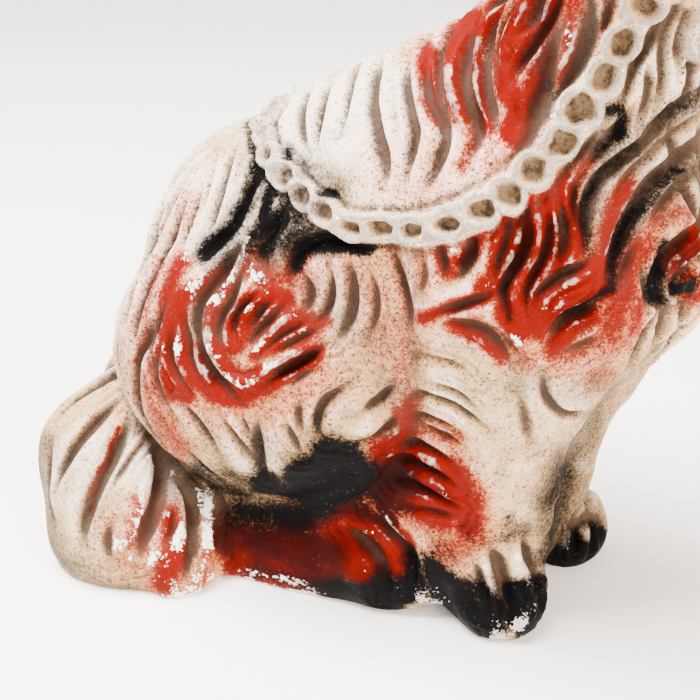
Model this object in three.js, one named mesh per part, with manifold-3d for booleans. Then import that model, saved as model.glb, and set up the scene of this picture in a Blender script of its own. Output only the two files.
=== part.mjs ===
// A seated spaniel mantel dog, cast in plaster as one piece: body, curled tail, collar, locket and chain.
// Millimetres, +Z up. The dog sits facing +X and turns its head to -Y. It stands on the plane z = 0.
import * as THREE from "three";
import Module from "manifold-3d";

// Driving dimensions, in millimetres
const height = 330;
const lockDepth = 3;
const lockWidth = 5.2;
const chainPitch = 13;
const chainWidth = 11.5;
const chainRise = 2.6;
const collarWidth = 8;
const collarRise = 2.4;
const locketRadius = 12;
const locketRise = 4;
const farShare = 0.7;
const sculptStep = 2.1;
const faceBudget = 9750;

// The pose and proportions are shares of the height: one unit of the layout below is a hundredth of it.
const share = height / 100;
const at = (x, y, z) => new THREE.Vector3(x, y, z).multiplyScalar(share);
const mirrored = (p) => new THREE.Vector3(p.x, -p.y, p.z);

// A rounded mass: an ellipsoid turned about Z, then tilted nose-up about its own side axis.
function mass(centre, radii, blend, turn = 0, tilt = 0) {
  const r = radii.map((v) => v * share);
  const turned = new THREE.Quaternion().setFromEuler(
    new THREE.Euler(0, THREE.MathUtils.degToRad(-tilt), THREE.MathUtils.degToRad(turn), "ZYX"),
  );
  const back = new THREE.Matrix4().makeRotationFromQuaternion(turned.invert()).elements;
  const smallest = Math.min(...r);
  return {
    blend: blend * share,
    distance(x, y, z) {
      const dx = x - centre.x;
      const dy = y - centre.y;
      const dz = z - centre.z;
      const u = (back[0] * dx + back[4] * dy + back[8] * dz) / r[0];
      const v = (back[1] * dx + back[5] * dy + back[9] * dz) / r[1];
      const w = (back[2] * dx + back[6] * dy + back[10] * dz) / r[2];
      const inner = Math.sqrt(u * u + v * v + w * w);
      const outer = Math.sqrt((u / r[0]) ** 2 + (v / r[1]) ** 2 + (w / r[2]) ** 2);
      return outer < 1e-9 ? -smallest : (inner * (inner - 1)) / outer;
    },
  };
}

// A tapering limb between two joints.
function limb(from, fromRadius, to, toRadius, blend) {
  const ra = fromRadius * share;
  const rb = toRadius * share;
  const ax = to.x - from.x;
  const ay = to.y - from.y;
  const az = to.z - from.z;
  const length2 = ax * ax + ay * ay + az * az;
  return {
    blend: blend * share,
    distance(x, y, z) {
      const dx = x - from.x;
      const dy = y - from.y;
      const dz = z - from.z;
      const t = Math.min(1, Math.max(0, (dx * ax + dy * ay + dz * az) / length2));
      return Math.hypot(dx - ax * t, dy - ay * t, dz - az * t) - ra - (rb - ra) * t;
    },
  };
}

const bothSides = (make) => [make((p) => p), make(mirrored)];

const body = [
  mass(at(-14, 0, 26), [17, 14, 20.5], 3),
  limb(at(-10.5, 0, 42.4), 13.8, at(14, 0, 54.6), 14.8, 6),
  mass(at(22.5, 0, 50), [18.4, 15, 19], 5),
  limb(at(23.5, 0, 58), 14.2, at(31.2, -1, 79), 10.6, 4),
  mass(at(0, 0, 10), [27, 12.5, 19], 4),
  mass(at(8, 0, 30), [20, 12.6, 24], 5),
  mass(at(21, 0, 14), [6, 8, 26], 3),
];

const quarters = [
  ...bothSides((side) => mass(side(at(-7.6, -9.6, 29.4)), [19.8, 9.2, 17], 1.8, 0, 8)),
  ...bothSides((side) => mass(side(at(17, -8, 47)), [15, 8, 17], 6, 0, 14)),
  ...bothSides((side) => mass(side(at(4, -9.2, 4.6)), [13, 5, 6.2], 2)),
  ...bothSides((side) => mass(side(at(-7, -8, 3)), [13, 6.6, 7], 3)),
];

const legs = [
  limb(at(22.6, -5.4, 44), 11.4, at(18.4, -6.2, 10), 6, 5),
  limb(at(32.4, 4.4, 46), 9.2, at(27.8, 6.4, 31), 5.8, 6),
  limb(at(27.8, 6.4, 31), 5.8, at(24.8, 6.8, 9), 4.2, 4),
  mass(at(22, -6.2, 3.2), [7.4, 6, 5.2], 2.4, -42),
  mass(at(27, 9, 3.6), [5.6, 5.2, 5], 1.6, 20),
];

const tail = [
  limb(at(-30, 0, 19), 5.5, at(-33.4, -8, 9), 8, 3),
  limb(at(-33.4, -8, 9), 8, at(-27, -14.2, 3), 8.6, 4),
  limb(at(-27, -14.2, 3), 8.6, at(-17.4, -16.2, 2), 5.4, 4),
];

const face = 14.5;
const head = [
  mass(at(31.2, -2.2, 89.4), [10, 10, 10.4], 3, face),
  mass(at(33, -8, 84.4), [8, 5.6, 5.4], 3, face),
  mass(at(33.6, -11.4, 84.2), [5.6, 6.2, 4.8], 1.6, face),
  mass(at(34.9, -16.6, 86.4), [2.5, 1.7, 1.8], 0.6, face),
  mass(at(29.6, -10.4, 93.4), [3, 2.2, 1.7], 1.2, face, 14),
  mass(at(36.4, -8.7, 93.4), [3, 2.2, 1.7], 1.2, face, -14),
  mass(at(30, -11.4, 90.6), [1.9, 1.5, 1.7], 0.4, face),
  mass(at(36.8, -9.6, 90.6), [1.9, 1.5, 1.7], 0.4, face),
];

const ears = [
  mass(at(21.4, -5.4, 90), [3.2, 4.6, 7], 2, face, -8),
  mass(at(20.6, -6.2, 84), [3.4, 5.8, 6.6], 2.4, face, -12),
  mass(at(41.6, -0.2, 90), [3.2, 4.6, 7], 2, face, 8),
  mass(at(42.6, -0.8, 84), [3.4, 5.8, 6.6], 2.4, face, 12),
];

const masses = [...body, ...quarters, ...legs, ...tail, ...head, ...ears];

// The whole form: every mass melts into the ones before it over its own blend.
function form(x, y, z) {
  let d = masses[0].distance(x, y, z);
  for (let i = 1; i < masses.length; i++) {
    const m = masses[i];
    const e = m.distance(x, y, z);
    const gap = Math.max(m.blend - Math.abs(d - e), 0) / m.blend;
    d = Math.min(d, e) - (gap * gap * m.blend) / 4;
  }
  return d;
}

const sag = 3;
const solid = (x, y, z) => Math.max(form(x, y, z), -z - sag);

// Direction of steepest climb out of the form.
function outward(p) {
  const e = 0.4;
  return new THREE.Vector3(
    form(p.x + e, p.y, p.z) - form(p.x - e, p.y, p.z),
    form(p.x, p.y + e, p.z) - form(p.x, p.y - e, p.z),
    form(p.x, p.y, p.z + e) - form(p.x, p.y, p.z - e),
  ).normalize();
}

// Moves a point near the form onto its surface.
function settle(p) {
  for (let i = 0; i < 4; i++) p.addScaledVector(outward(p), -0.9 * form(p.x, p.y, p.z));
  return p;
}

// Guide lines of the fur, in hundredths of the height.
// Each family of locks spreads from its first guide to its last.
const line = (...points) => new THREE.CatmullRomCurve3(points.map(([x, y, z]) => at(x, y, z)));
const spine = line([-19, -1.5, 53.5], [-25, -2, 46], [-29, -2.5, 36], [-30.5, -2, 27]);
const furBothSides = [
  { count: 2, guides: [line([20, -2, 78], [17.5, -2.5, 74.5], [15, -3, 72]),
    line([23.5, -8, 77], [22, -9, 74], [20.5, -9.5, 72])] },
  { count: 10, guides: [line([-3.5, -1.5, 63], [-2, -4.5, 62], [-2.5, -8, 60], [-0.5, -11, 58]),
    line([9.5, -2, 69], [10.5, -8, 67], [11.5, -12.5, 63.5], [13, -15.5, 58]),
    line([17, -3.5, 73], [18.5, -9, 71.5], [20, -12.5, 66.5], [20.5, -15, 61]),
    line([25.5, -11, 74.5], [25.5, -12.5, 71], [25, -13, 67], [24, -14.5, 62.5])] },
  { count: 6, guides: [spine,
    line([-14.5, -8, 53], [-16.5, -11.5, 47.5], [-19, -14.5, 39.5], [-20.5, -16.5, 32.5]),
    line([-9.5, -7.5, 56], [-10.5, -11, 52], [-13, -13, 46.5], [-16.5, -17, 36], [-16, -17.5, 26])] },
  { count: 4, guides: [line([-5.5, -11, 55], [-8.5, -12.5, 50], [-12, -14.5, 44], [-12, -17, 38.5],
      [-9.5, -18.5, 33.5], [-5.5, -18.5, 30]),
    line([-4.5, -12.5, 53.5], [-7, -13.5, 47.5], [-10, -15, 43.5], [-10, -17.5, 37.5],
      [-6.5, -18.5, 33], [-1, -18, 34], [3.5, -16, 37.5]),
    line([-4, -15, 43], [-6, -16.5, 40.5], [-5.5, -17.5, 37.5], [-2, -16.5, 39.5])] },
  { count: 3, guides: [line([4.5, -15, 47.5], [7, -15, 43.5], [6, -15, 39], [1.5, -17, 36],
      [-2.5, -18.5, 33]),
    line([10.5, -16.5, 49], [12, -16, 42.5], [9.5, -14.5, 34], [5, -16.5, 31.5], [3.5, -17, 26.5])] },
  { count: 6, deep: 0.8, guides: [line([-15.5, -18, 29], [-13.5, -18.5, 24.5], [-10.5, -17, 19]),
    line([-7, -19, 28.5], [-5.5, -18.5, 24.5], [-4, -17, 19]),
    line([3.5, -17, 31.5], [3.5, -17, 27], [3, -16.5, 23]),
    line([11, -14.5, 34], [10.5, -13.5, 28], [7, -14.5, 22.5])] },
  { count: 8, guides: [line([22.5, -16.5, 54.5], [23, -17, 52.5], [21.5, -17.5, 48.5], [16, -17, 44.5]),
    line([27, -15, 58], [28.5, -15.5, 53], [26.5, -17, 48.5], [26.5, -17, 44]),
    line([34.5, -10, 63], [30.5, -13.5, 57.5], [31, -14, 52.5], [28, -16.5, 49.5], [27, -17, 46]),
    line([38.5, -4, 61], [34, -11.5, 55.5], [33, -13.5, 48], [29.5, -16, 46], [28.5, -16.5, 41]),
    line([41, -4.5, 54], [37.5, -9.5, 49.5], [37, -9, 45], [36, -8, 40])] },
  { count: 2, guides: [line([36, -9, 66], [39.5, -7, 58], [41, -4, 52], [39, -4, 46]),
    line([38, -2, 67], [41.5, -1.5, 60], [41.5, -1, 52], [39.5, -1.5, 45])] },
  { count: 4, deep: 0.55, guides: [line([13, -15.5, 37], [18, -17, 37.5], [25, -16.5, 34.5]),
    line([11, -12, 18.5], [15, -13, 19.5], [20.5, -13.5, 17.5])] },
  { count: 1, guides: [line([16.5, -17, 43], [20.5, -18, 44], [24, -17.5, 42.5], [26, -17, 41])] },
  { count: 1, guides: [line([28, -15.5, 39.5], [28.5, -14, 36], [31, -12, 34])] },
  { count: 2, guides: [line([6, -12.5, 10.5], [8.5, -12.5, 9], [10, -13.5, 6.5], [10.5, -13, 1]),
    line([9, -12, 14], [12.5, -12, 11], [14.6, -12.5, 6.5], [14.5, -12.5, 1])] },
];
const furOneSide = [
  { count: 7, guides: [line([-33, -2, 22], [-37, -5, 18.5], [-39.5, -9, 15], [-38, -14, 10]),
    line([-29.5, -8.5, 19], [-31.5, -13, 16.5], [-33, -17, 12.5], [-34, -20, 7]),
    line([-26.5, -9, 16], [-27, -15, 13], [-27, -20, 9.5], [-26.5, -22.5, 4]),
    line([-23.5, -9, 14], [-21.5, -15, 9], [-20, -19, 6], [-20, -21, 3]),
    line([-19, -11, 10], [-15.5, -15, 7], [-13.5, -18, 5], [-13, -19, 3])] },
  { count: 3, guides: [line([23, -11.5, 12], [24.5, -9.5, 7.5], [26, -12.5, 2]),
    line([20.5, -12, 9], [21.5, -13, 5.5], [22.5, -14, 2])] },
  { count: 2, guides: [line([29.5, 7, 9], [31, 6.5, 6], [32, 6.5, 1]),
    line([30, 10.5, 9], [32, 10.5, 6], [33, 10.5, 1])] },
  { count: 3, guides: [line([19, -9.5, 93], [18, -10.5, 88], [18.5, -10.5, 81]),
    line([19.5, -3, 94], [18, -3, 88], [18, -3.5, 80])] },
  { count: 3, guides: [line([45, -4.5, 93], [46, -4, 88], [46.5, -4, 81]),
    line([44.5, 2, 94], [45.5, 3, 88], [46, 3, 81])] },
  { count: 1, guides: [line([31.5, -15.5, 82.6], [34.6, -19, 82.2], [38, -14, 82.8])] },
];
const chainSide = line([33, -11.3, 77.8], [31.5, -12, 72], [28.5, -13, 66], [25, -15, 60],
  [21, -16.5, 56.5], [14, -17, 53.5], [7, -15.5, 52], [0.5, -13.5, 54], [-5, -10, 56],
  [-8.5, -5, 58.3], [-9.5, 0, 58.8]);
const collarCentre = at(30.9, -0.9, 78.6);
const collarAxis = at(7.7, -1, 21).normalize();
const collarReach = 15 * share;
const locketCentre = settle(at(39.2, -7.8, 72.8));

// Walks a curve in short steps over the surface; every sample knows how far along it lies.
function trace(curve, mirror, deep = 1) {
  const spacing = 1.6;
  const steps = Math.ceil(curve.getLength() / spacing);
  const samples = [];
  let travelled = 0;
  for (let i = 0; i <= steps; i++) {
    let p = curve.getPointAt(i / steps);
    if (mirror) p = mirrored(p);
    settle(p);
    if (i) travelled += p.distanceTo(samples[i - 1].p);
    samples.push({ p, along: travelled });
  }
  samples.forEach((q, i) => {
    const next = samples[Math.min(i + 1, steps)].p;
    q.heading = next.clone().sub(samples[Math.max(i - 1, 0)].p).normalize();
    q.total = travelled;
    q.deep = deep;
  });
  return samples;
}

// The lock lines of one family, spread evenly from its first guide to its last. The mirrored side is plainer.
function locksOf({ count: all, deep = 1, guides }, mirror) {
  const lines = [];
  const count = mirror ? Math.ceil(all * farShare) : all;
  for (let n = 0; n < count; n++) {
    const u = count > 1 ? (n / (count - 1)) * (guides.length - 1) : 0;
    const g = Math.min(Math.floor(u), Math.max(guides.length - 2, 0));
    const points = [0, 0.2, 0.4, 0.6, 0.8, 1].map((t) => {
      const p = guides[g].getPoint(t);
      return guides.length > 1 ? p.lerp(guides[g + 1].getPoint(t), u - g) : p;
    });
    lines.push(trace(new THREE.CatmullRomCurve3(points), mirror, deep));
  }
  return lines;
}

const locks = [
  ...furBothSides.flatMap((family) => [...locksOf(family, false), ...locksOf(family, true)]),
  ...furOneSide.flatMap((family) => locksOf(family, false)),
];
const chains = [trace(chainSide, false), trace(chainSide, true)];

// Finds the samples close to a point without looking at all of them.
function bucketed(lines, size) {
  const cells = new Map();
  const key = (i, j, k) => i * 73856093 + j * 19349663 + k * 83492791;
  lines.forEach((samples, line) => samples.forEach((q) => {
    const c = [q.p.x, q.p.y, q.p.z].map((v) => Math.floor(v / size));
    const id = key(...c);
    if (!cells.has(id)) cells.set(id, []);
    cells.get(id).push({ ...q, line });
  }));
  return (p, visit) => {
    const c = [p.x, p.y, p.z].map((v) => Math.floor(v / size));
    for (let i = -1; i <= 1; i++)
      for (let j = -1; j <= 1; j++)
        for (let k = -1; k <= 1; k++)
          for (const q of cells.get(key(c[0] + i, c[1] + j, c[2] + k)) ?? []) visit(q);
  };
}
const nearLocks = bucketed(locks, 2 * lockWidth);
const nearChain = bucketed(chains, chainWidth);

const smooth = (low, high, v) => THREE.MathUtils.smoothstep(v, low, high);

// Depth of the groove between two locks, easing out at both of its ends.
function groove(p) {
  const found = new Map();
  nearLocks(p, (q) => {
    const d = p.distanceTo(q.p);
    if (!found.has(q.line) || found.get(q.line).d > d) found.set(q.line, { d, q });
  });
  let cut = 0;
  for (const { d, q } of found.values()) {
    if (d > lockWidth) continue;
    const ends = q.deep * smooth(0, 14, q.along + 3) * smooth(0, 14, q.total - q.along + 3);
    cut = Math.max(cut, lockDepth * (0.5 + 0.5 * Math.cos((Math.PI * d) / lockWidth)) * ends);
  }
  return cut;
}

// Height of the chain: oval links in a row, each with a sunk middle. Also says how much of the fur it covers.
function links(p) {
  let best = null;
  nearChain(p, (q) => {
    const d = p.distanceTo(q.p);
    if (!best || d < best.d) best = { d, q };
  });
  if (!best || best.d > chainWidth) return [0, 0];
  const offset = p.clone().sub(best.q.p);
  const along = best.q.along + offset.dot(best.q.heading);
  const across = Math.sqrt(Math.max(0, offset.lengthSq() - offset.dot(best.q.heading) ** 2));
  const u = Math.abs(along / chainPitch - Math.round(along / chainPitch)) * 2;
  const r = Math.hypot(u * 0.92, across / (chainWidth / 2));
  const rim = 1 - ((r - 0.68) / 0.42) ** 2;
  return [chainRise * Math.max(rim, 0), 1 - smooth(0.9, 1.3, across / (chainWidth / 2))];
}

// How far a point of the form's surface is raised or sunk by fur, chain, collar and locket.
function relief(p) {
  const [link, cover] = links(p);
  let rise = link - groove(p) * (1 - cover);
  const axial = p.clone().sub(collarCentre);
  if (axial.length() < collarReach) {
    const band = 1 - smooth(0.7, 1.1, Math.abs(axial.dot(collarAxis)) / (collarWidth / 2));
    rise = THREE.MathUtils.lerp(rise, collarRise, band);
  }
  const disc = 1 - smooth(0.75, 1.05, p.distanceTo(locketCentre) / locketRadius);
  return THREE.MathUtils.lerp(rise, locketRise, disc);
}

// Fills one sample wherever two sheets would only touch along an edge, so the mesh stays closed there.
function joinTouching(field, strides) {
  const last = field.length - strides[2] - strides[1];
  for (let filled = 1; filled; ) {
    filled = 0;
    for (let a = 0; a < last; a++)
      for (let m = 0; m < 3; m++) {
        const b = a + strides[m];
        const d = a + strides[(m + 1) % 3];
        const c = b + d - a;
        const inside = field[a] < 0;
        if (inside !== field[c] < 0 || inside === field[b] < 0 || inside === field[d] < 0) continue;
        const [near, far] = inside ? [b, d] : [a, c];
        field[field[near] < field[far] ? near : far] = -1e-3;
        filled++;
      }
  }
}

// Meshes the form with one vertex for each grid cell that its surface crosses.
function sculpt(low, high, step) {
  const n = [0, 1, 2].map((k) => Math.ceil((high.getComponent(k) - low.getComponent(k)) / step) + 1);
  const field = new Float32Array(n[0] * n[1] * n[2]);
  const index = (i, j, k) => i + n[0] * (j + n[1] * k);
  for (let k = 0; k < n[2]; k++)
    for (let j = 0; j < n[1]; j++)
      for (let i = 0; i < n[0]; ) {
        const d = solid(low.x + i * step, low.y + j * step, low.z + k * step);
        const stride = Math.max(1, Math.floor((0.45 * Math.abs(d)) / step));
        for (const end = Math.min(i + stride, n[0]); i < end; i++) field[index(i, j, k)] = d;
      }
  const strides = [1, n[0], n[0] * n[1]];
  joinTouching(field, strides);
  const vertexOf = new Int32Array(field.length).fill(-1);
  const points = [];
  const corners = [0, 1, 2, 3, 4, 5, 6, 7].map((c) => [c & 1, (c >> 1) & 1, c >> 2]);
  const edges = [];
  for (let a = 0; a < 8; a++) for (const bit of [1, 2, 4]) if (!(a & bit)) edges.push([a, a | bit]);
  for (let k = 0; k < n[2] - 1; k++)
    for (let j = 0; j < n[1] - 1; j++)
      for (let i = 0; i < n[0] - 1; i++) {
        const values = corners.map(([a, b, c]) => field[index(i + a, j + b, k + c)]);
        const sum = [0, 0, 0];
        let crossings = 0;
        for (const [a, b] of edges) {
          if (values[a] < 0 === values[b] < 0) continue;
          const t = values[a] / (values[a] - values[b]);
          for (let m = 0; m < 3; m++) sum[m] += corners[a][m] + (corners[b][m] - corners[a][m]) * t;
          crossings++;
        }
        if (!crossings) continue;
        vertexOf[index(i, j, k)] = points.length / 3;
        points.push(
          low.x + (i + sum[0] / crossings) * step,
          low.y + (j + sum[1] / crossings) * step,
          low.z + (k + sum[2] / crossings) * step,
        );
      }
  const faces = [];
  for (let k = 1; k < n[2] - 1; k++)
    for (let j = 1; j < n[1] - 1; j++)
      for (let i = 1; i < n[0] - 1; i++) {
        const here = index(i, j, k);
        for (let m = 0; m < 3; m++) {
          const inside = field[here] < 0;
          if (inside === field[here + strides[m]] < 0) continue;
          const u = strides[(m + 1) % 3];
          const v = strides[(m + 2) % 3];
          const [a, b, c, d] = [here, here - u, here - u - v, here - v].map((q) => vertexOf[q]);
          if (inside) faces.push(a, b, c, a, c, d);
          else faces.push(a, c, b, a, d, c);
        }
      }
  return { points: new Float64Array(points), faces: new Uint32Array(faces) };
}

// Carves the relief into the meshed form. The ground zone keeps its plain rim.
function carve({ points }) {
  const p = new THREE.Vector3();
  for (let i = 0; i < points.length; i += 3) {
    p.set(points[i], points[i + 1], points[i + 2]);
    if (p.z < -0.5 * sag) continue;
    const rise = relief(p);
    if (rise) p.addScaledVector(outward(p), rise).toArray(points, i);
  }
}

// Merges edges by least squared distance to the facets around them, until the budget is met.
function reduce({ points, faces }, budget) {
  const count = points.length / 3;
  const quadric = Array.from({ length: count }, () => new Float64Array(10));
  const around = Array.from({ length: count }, () => new Set());
  const corner = (f, m) => faces[3 * f + m];
  const alive = new Uint8Array(faces.length / 3).fill(1);
  const stamp = new Uint32Array(count);
  const [a, b, c, n] = [0, 1, 2, 3].map(() => new THREE.Vector3());
  const place = (v, i) => v.set(points[3 * i], points[3 * i + 1], points[3 * i + 2]);
  for (let f = 0; f < alive.length; f++) {
    place(a, corner(f, 0));
    place(b, corner(f, 1)).sub(a);
    place(c, corner(f, 2)).sub(a);
    n.crossVectors(b, c);
    const area = n.length() / 2;
    n.normalize();
    const plane = [n.x, n.y, n.z, -n.dot(a)];
    for (let m = 0; m < 3; m++) {
      around[corner(f, m)].add(f);
      let at = 0;
      for (let i = 0; i < 4; i++)
        for (let j = i; j < 4; j++) quadric[corner(f, m)][at++] += area * plane[i] * plane[j];
    }
  }
  const cost = (q, x, y, z) =>
    q[0] * x * x + 2 * q[1] * x * y + 2 * q[2] * x * z + 2 * q[3] * x +
    q[4] * y * y + 2 * q[5] * y * z + 2 * q[6] * y + q[7] * z * z + 2 * q[8] * z + q[9];
  const plan = (i, j) => {
    const q = quadric[i].map((v, m) => v + quadric[j][m]);
    const mid = [0, 1, 2].map((m) => (points[3 * i + m] + points[3 * j + m]) / 2);
    const w = 1e-3 * (q[0] + q[4] + q[7]) + 1e-9;
    const A = new THREE.Matrix3().set(q[0] + w, q[1], q[2], q[1], q[4] + w, q[5], q[2], q[5], q[7] + w);
    const best = new THREE.Vector3(w * mid[0] - q[3], w * mid[1] - q[6], w * mid[2] - q[8]);
    best.applyMatrix3(A.invert());
    const span = Math.hypot(...[0, 1, 2].map((m) => points[3 * i + m] - points[3 * j + m]));
    if (best.distanceTo(n.fromArray(mid)) > 2 * span) best.fromArray(mid);
    const price = Math.max(0, cost(q, best.x, best.y, best.z)) + 2e-4 * span ** 3;
    return { i, j, price, spot: best, mark: [stamp[i], stamp[j]] };
  };
  const heap = [];
  const push = (item) => {
    let at = heap.push(item) - 1;
    while (at > 0) {
      const up = (at - 1) >> 1;
      if (heap[up].price <= item.price) break;
      heap[at] = heap[up];
      at = up;
    }
    heap[at] = item;
  };
  const pop = () => {
    const top = heap[0];
    const item = heap.pop();
    if (!heap.length) return top;
    let at = 0;
    for (;;) {
      let down = 2 * at + 1;
      if (down >= heap.length) break;
      if (down + 1 < heap.length && heap[down + 1].price < heap[down].price) down++;
      if (heap[down].price >= item.price) break;
      heap[at] = heap[down];
      at = down;
    }
    heap[at] = item;
    return top;
  };
  const neighbours = (i) => {
    const found = new Set();
    for (const f of around[i]) for (let m = 0; m < 3; m++) if (corner(f, m) !== i) found.add(corner(f, m));
    return found;
  };
  for (let i = 0; i < count; i++) for (const j of neighbours(i)) if (i < j) push(plan(i, j));
  const turnsOver = (i, j, spot) => {
    for (const f of around[i]) {
      const ring = [0, 1, 2].map((m) => corner(f, m));
      if (ring.includes(j)) continue;
      place(a, ring[0]);
      place(b, ring[1]).sub(a);
      place(c, ring[2]).sub(a);
      const before = n.crossVectors(b, c).normalize().clone();
      ring.forEach((v, m) => (v === i ? [a, b, c][m].copy(spot) : place([a, b, c][m], v)));
      b.sub(a);
      c.sub(a);
      n.crossVectors(b, c);
      const size = n.length();
      const longest = Math.max(b.lengthSq(), c.lengthSq(), b.distanceToSquared(c));
      if (size < 0.04 * longest || n.dot(before) < 0.35 * size) return true;
    }
    return false;
  };
  let left = alive.length;
  while (left > budget && heap.length) {
    const { i, j, spot, mark } = pop();
    if (!around[i].size || !around[j].size || mark[0] !== stamp[i] || mark[1] !== stamp[j]) continue;
    const mine = neighbours(i);
    if (!mine.has(j)) continue;
    let shared = 0;
    for (const v of neighbours(j)) if (mine.has(v)) shared++;
    if (shared !== 2 || turnsOver(i, j, spot) || turnsOver(j, i, spot)) continue;
    spot.toArray(points, 3 * i);
    for (let m = 0; m < 10; m++) quadric[i][m] += quadric[j][m];
    for (const f of around[j]) {
      const ring = [0, 1, 2].map((m) => corner(f, m));
      if (ring.includes(i)) {
        alive[f] = 0;
        left--;
        for (const v of ring) if (v !== j) around[v].delete(f);
      } else {
        for (let m = 0; m < 3; m++) if (ring[m] === j) faces[3 * f + m] = i;
        around[i].add(f);
      }
    }
    around[j] = new Set();
    stamp[i]++;
    for (const v of neighbours(i)) push(plan(i, v));
  }
  const rename = new Map();
  const kept = { points: [], faces: [] };
  alive.forEach((keep, f) => {
    if (!keep) return;
    for (let m = 0; m < 3; m++) {
      const v = corner(f, m);
      if (!rename.has(v)) {
        rename.set(v, rename.size);
        kept.points.push(points[3 * v], points[3 * v + 1], points[3 * v + 2]);
      }
      kept.faces.push(rename.get(v));
    }
  });
  return kept;
}

const { Manifold, Mesh } = await Module().then((kernel) => {
  kernel.setup();
  return kernel;
});

const toSolid = (points, faces) => {
  const vertProperties = new Float32Array(points);
  const mesh = new Mesh({ numProp: 3, vertProperties, triVerts: new Uint32Array(faces) });
  mesh.merge();
  return new Manifold(mesh);
};

// Cuts the casting off flat where it stands.
function standFlat({ points, faces }, size) {
  const box = new THREE.BoxGeometry(size, size, size).translate(0, 0, size / 2);
  const room = toSolid(box.attributes.position.array, box.index.array);
  const cut = toSolid(points, faces).intersect(room).getMesh();
  const geometry = new THREE.BufferGeometry();
  const positions = [];
  for (let i = 0; i < cut.vertProperties.length; i += cut.numProp)
    positions.push(cut.vertProperties[i], cut.vertProperties[i + 1], cut.vertProperties[i + 2]);
  geometry.setAttribute("position", new THREE.Float32BufferAttribute(positions, 3));
  geometry.setIndex([...cut.triVerts]);
  geometry.computeVertexNormals();
  return geometry;
}

const clay = sculpt(at(-45, -25, -3), at(50, 22, 102), sculptStep);
carve(clay);
const casting = standFlat(reduce(clay, faceBudget), 4 * height);

// The middle of the figure's own box stands over the origin.
casting.computeBoundingBox();
const { min, max } = casting.boundingBox;
casting.translate(-(min.x + max.x) / 2, -(min.y + max.y) / 2, 0);

const plaster = new THREE.MeshStandardMaterial({ color: 0xe6ddcd, roughness: 0.55 });
const figure = new THREE.Mesh(casting, plaster);
figure.name = "spaniel_figure";
const group = new THREE.Group();
group.name = "mantel_spaniel";
group.add(figure);
export default group;
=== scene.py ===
import math

import bmesh
import bpy
import numpy as np
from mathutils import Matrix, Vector, kdtree, noise
from mathutils.bvhtree import BVHTree


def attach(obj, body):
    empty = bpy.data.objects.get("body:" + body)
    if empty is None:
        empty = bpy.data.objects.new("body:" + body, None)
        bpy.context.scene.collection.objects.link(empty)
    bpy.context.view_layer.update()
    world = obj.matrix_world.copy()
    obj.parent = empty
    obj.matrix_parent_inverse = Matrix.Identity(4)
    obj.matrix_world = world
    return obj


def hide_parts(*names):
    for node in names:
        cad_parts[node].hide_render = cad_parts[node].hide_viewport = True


bl_info = {
    "name": "Plaster mantel spaniel",
    "version": (1, 0, 0),
    "blender": (4, 5, 0),
    "location": "View3D > Sidebar > Spaniel",
    "description": "Carves and paints a cast plaster mantel dog round its packed solid",
    "category": "Add Mesh",
}

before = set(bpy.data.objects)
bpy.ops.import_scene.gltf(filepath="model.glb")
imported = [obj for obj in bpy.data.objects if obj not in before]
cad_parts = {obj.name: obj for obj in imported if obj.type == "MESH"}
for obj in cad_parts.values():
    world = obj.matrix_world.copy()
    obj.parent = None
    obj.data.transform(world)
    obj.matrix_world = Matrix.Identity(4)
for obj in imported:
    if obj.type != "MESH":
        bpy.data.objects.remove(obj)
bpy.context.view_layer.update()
NODE = "spaniel_figure"
MOST_TRIANGLES = 196000
# Without a seed of its own the vector noise starts from the clock, and every run would differ.
NOISE_SEED = 5

# The photographer's place: the frame is 700 x 700 pixels, and pixels below are of that frame.
SIZE_PX = 700
FOCAL_PX = 1100
AZIMUTH, ELEVATION, DISTANCE = math.radians(24), math.radians(28), 0.455
CENTRE = np.array([6.5365, -7.9026, 0.0]) / 1000
LOOK_AT = np.array([0, 0, 0.095]) - CENTRE
BACK = np.array([
    math.sin(AZIMUTH) * math.cos(ELEVATION), -math.cos(AZIMUTH) * math.cos(ELEVATION), math.sin(ELEVATION),
])
EYE = LOOK_AT + DISTANCE * BACK
RIGHT = np.array([math.cos(AZIMUTH), math.sin(AZIMUTH), 0.0])
UP = np.cross(RIGHT, -BACK)


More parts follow.
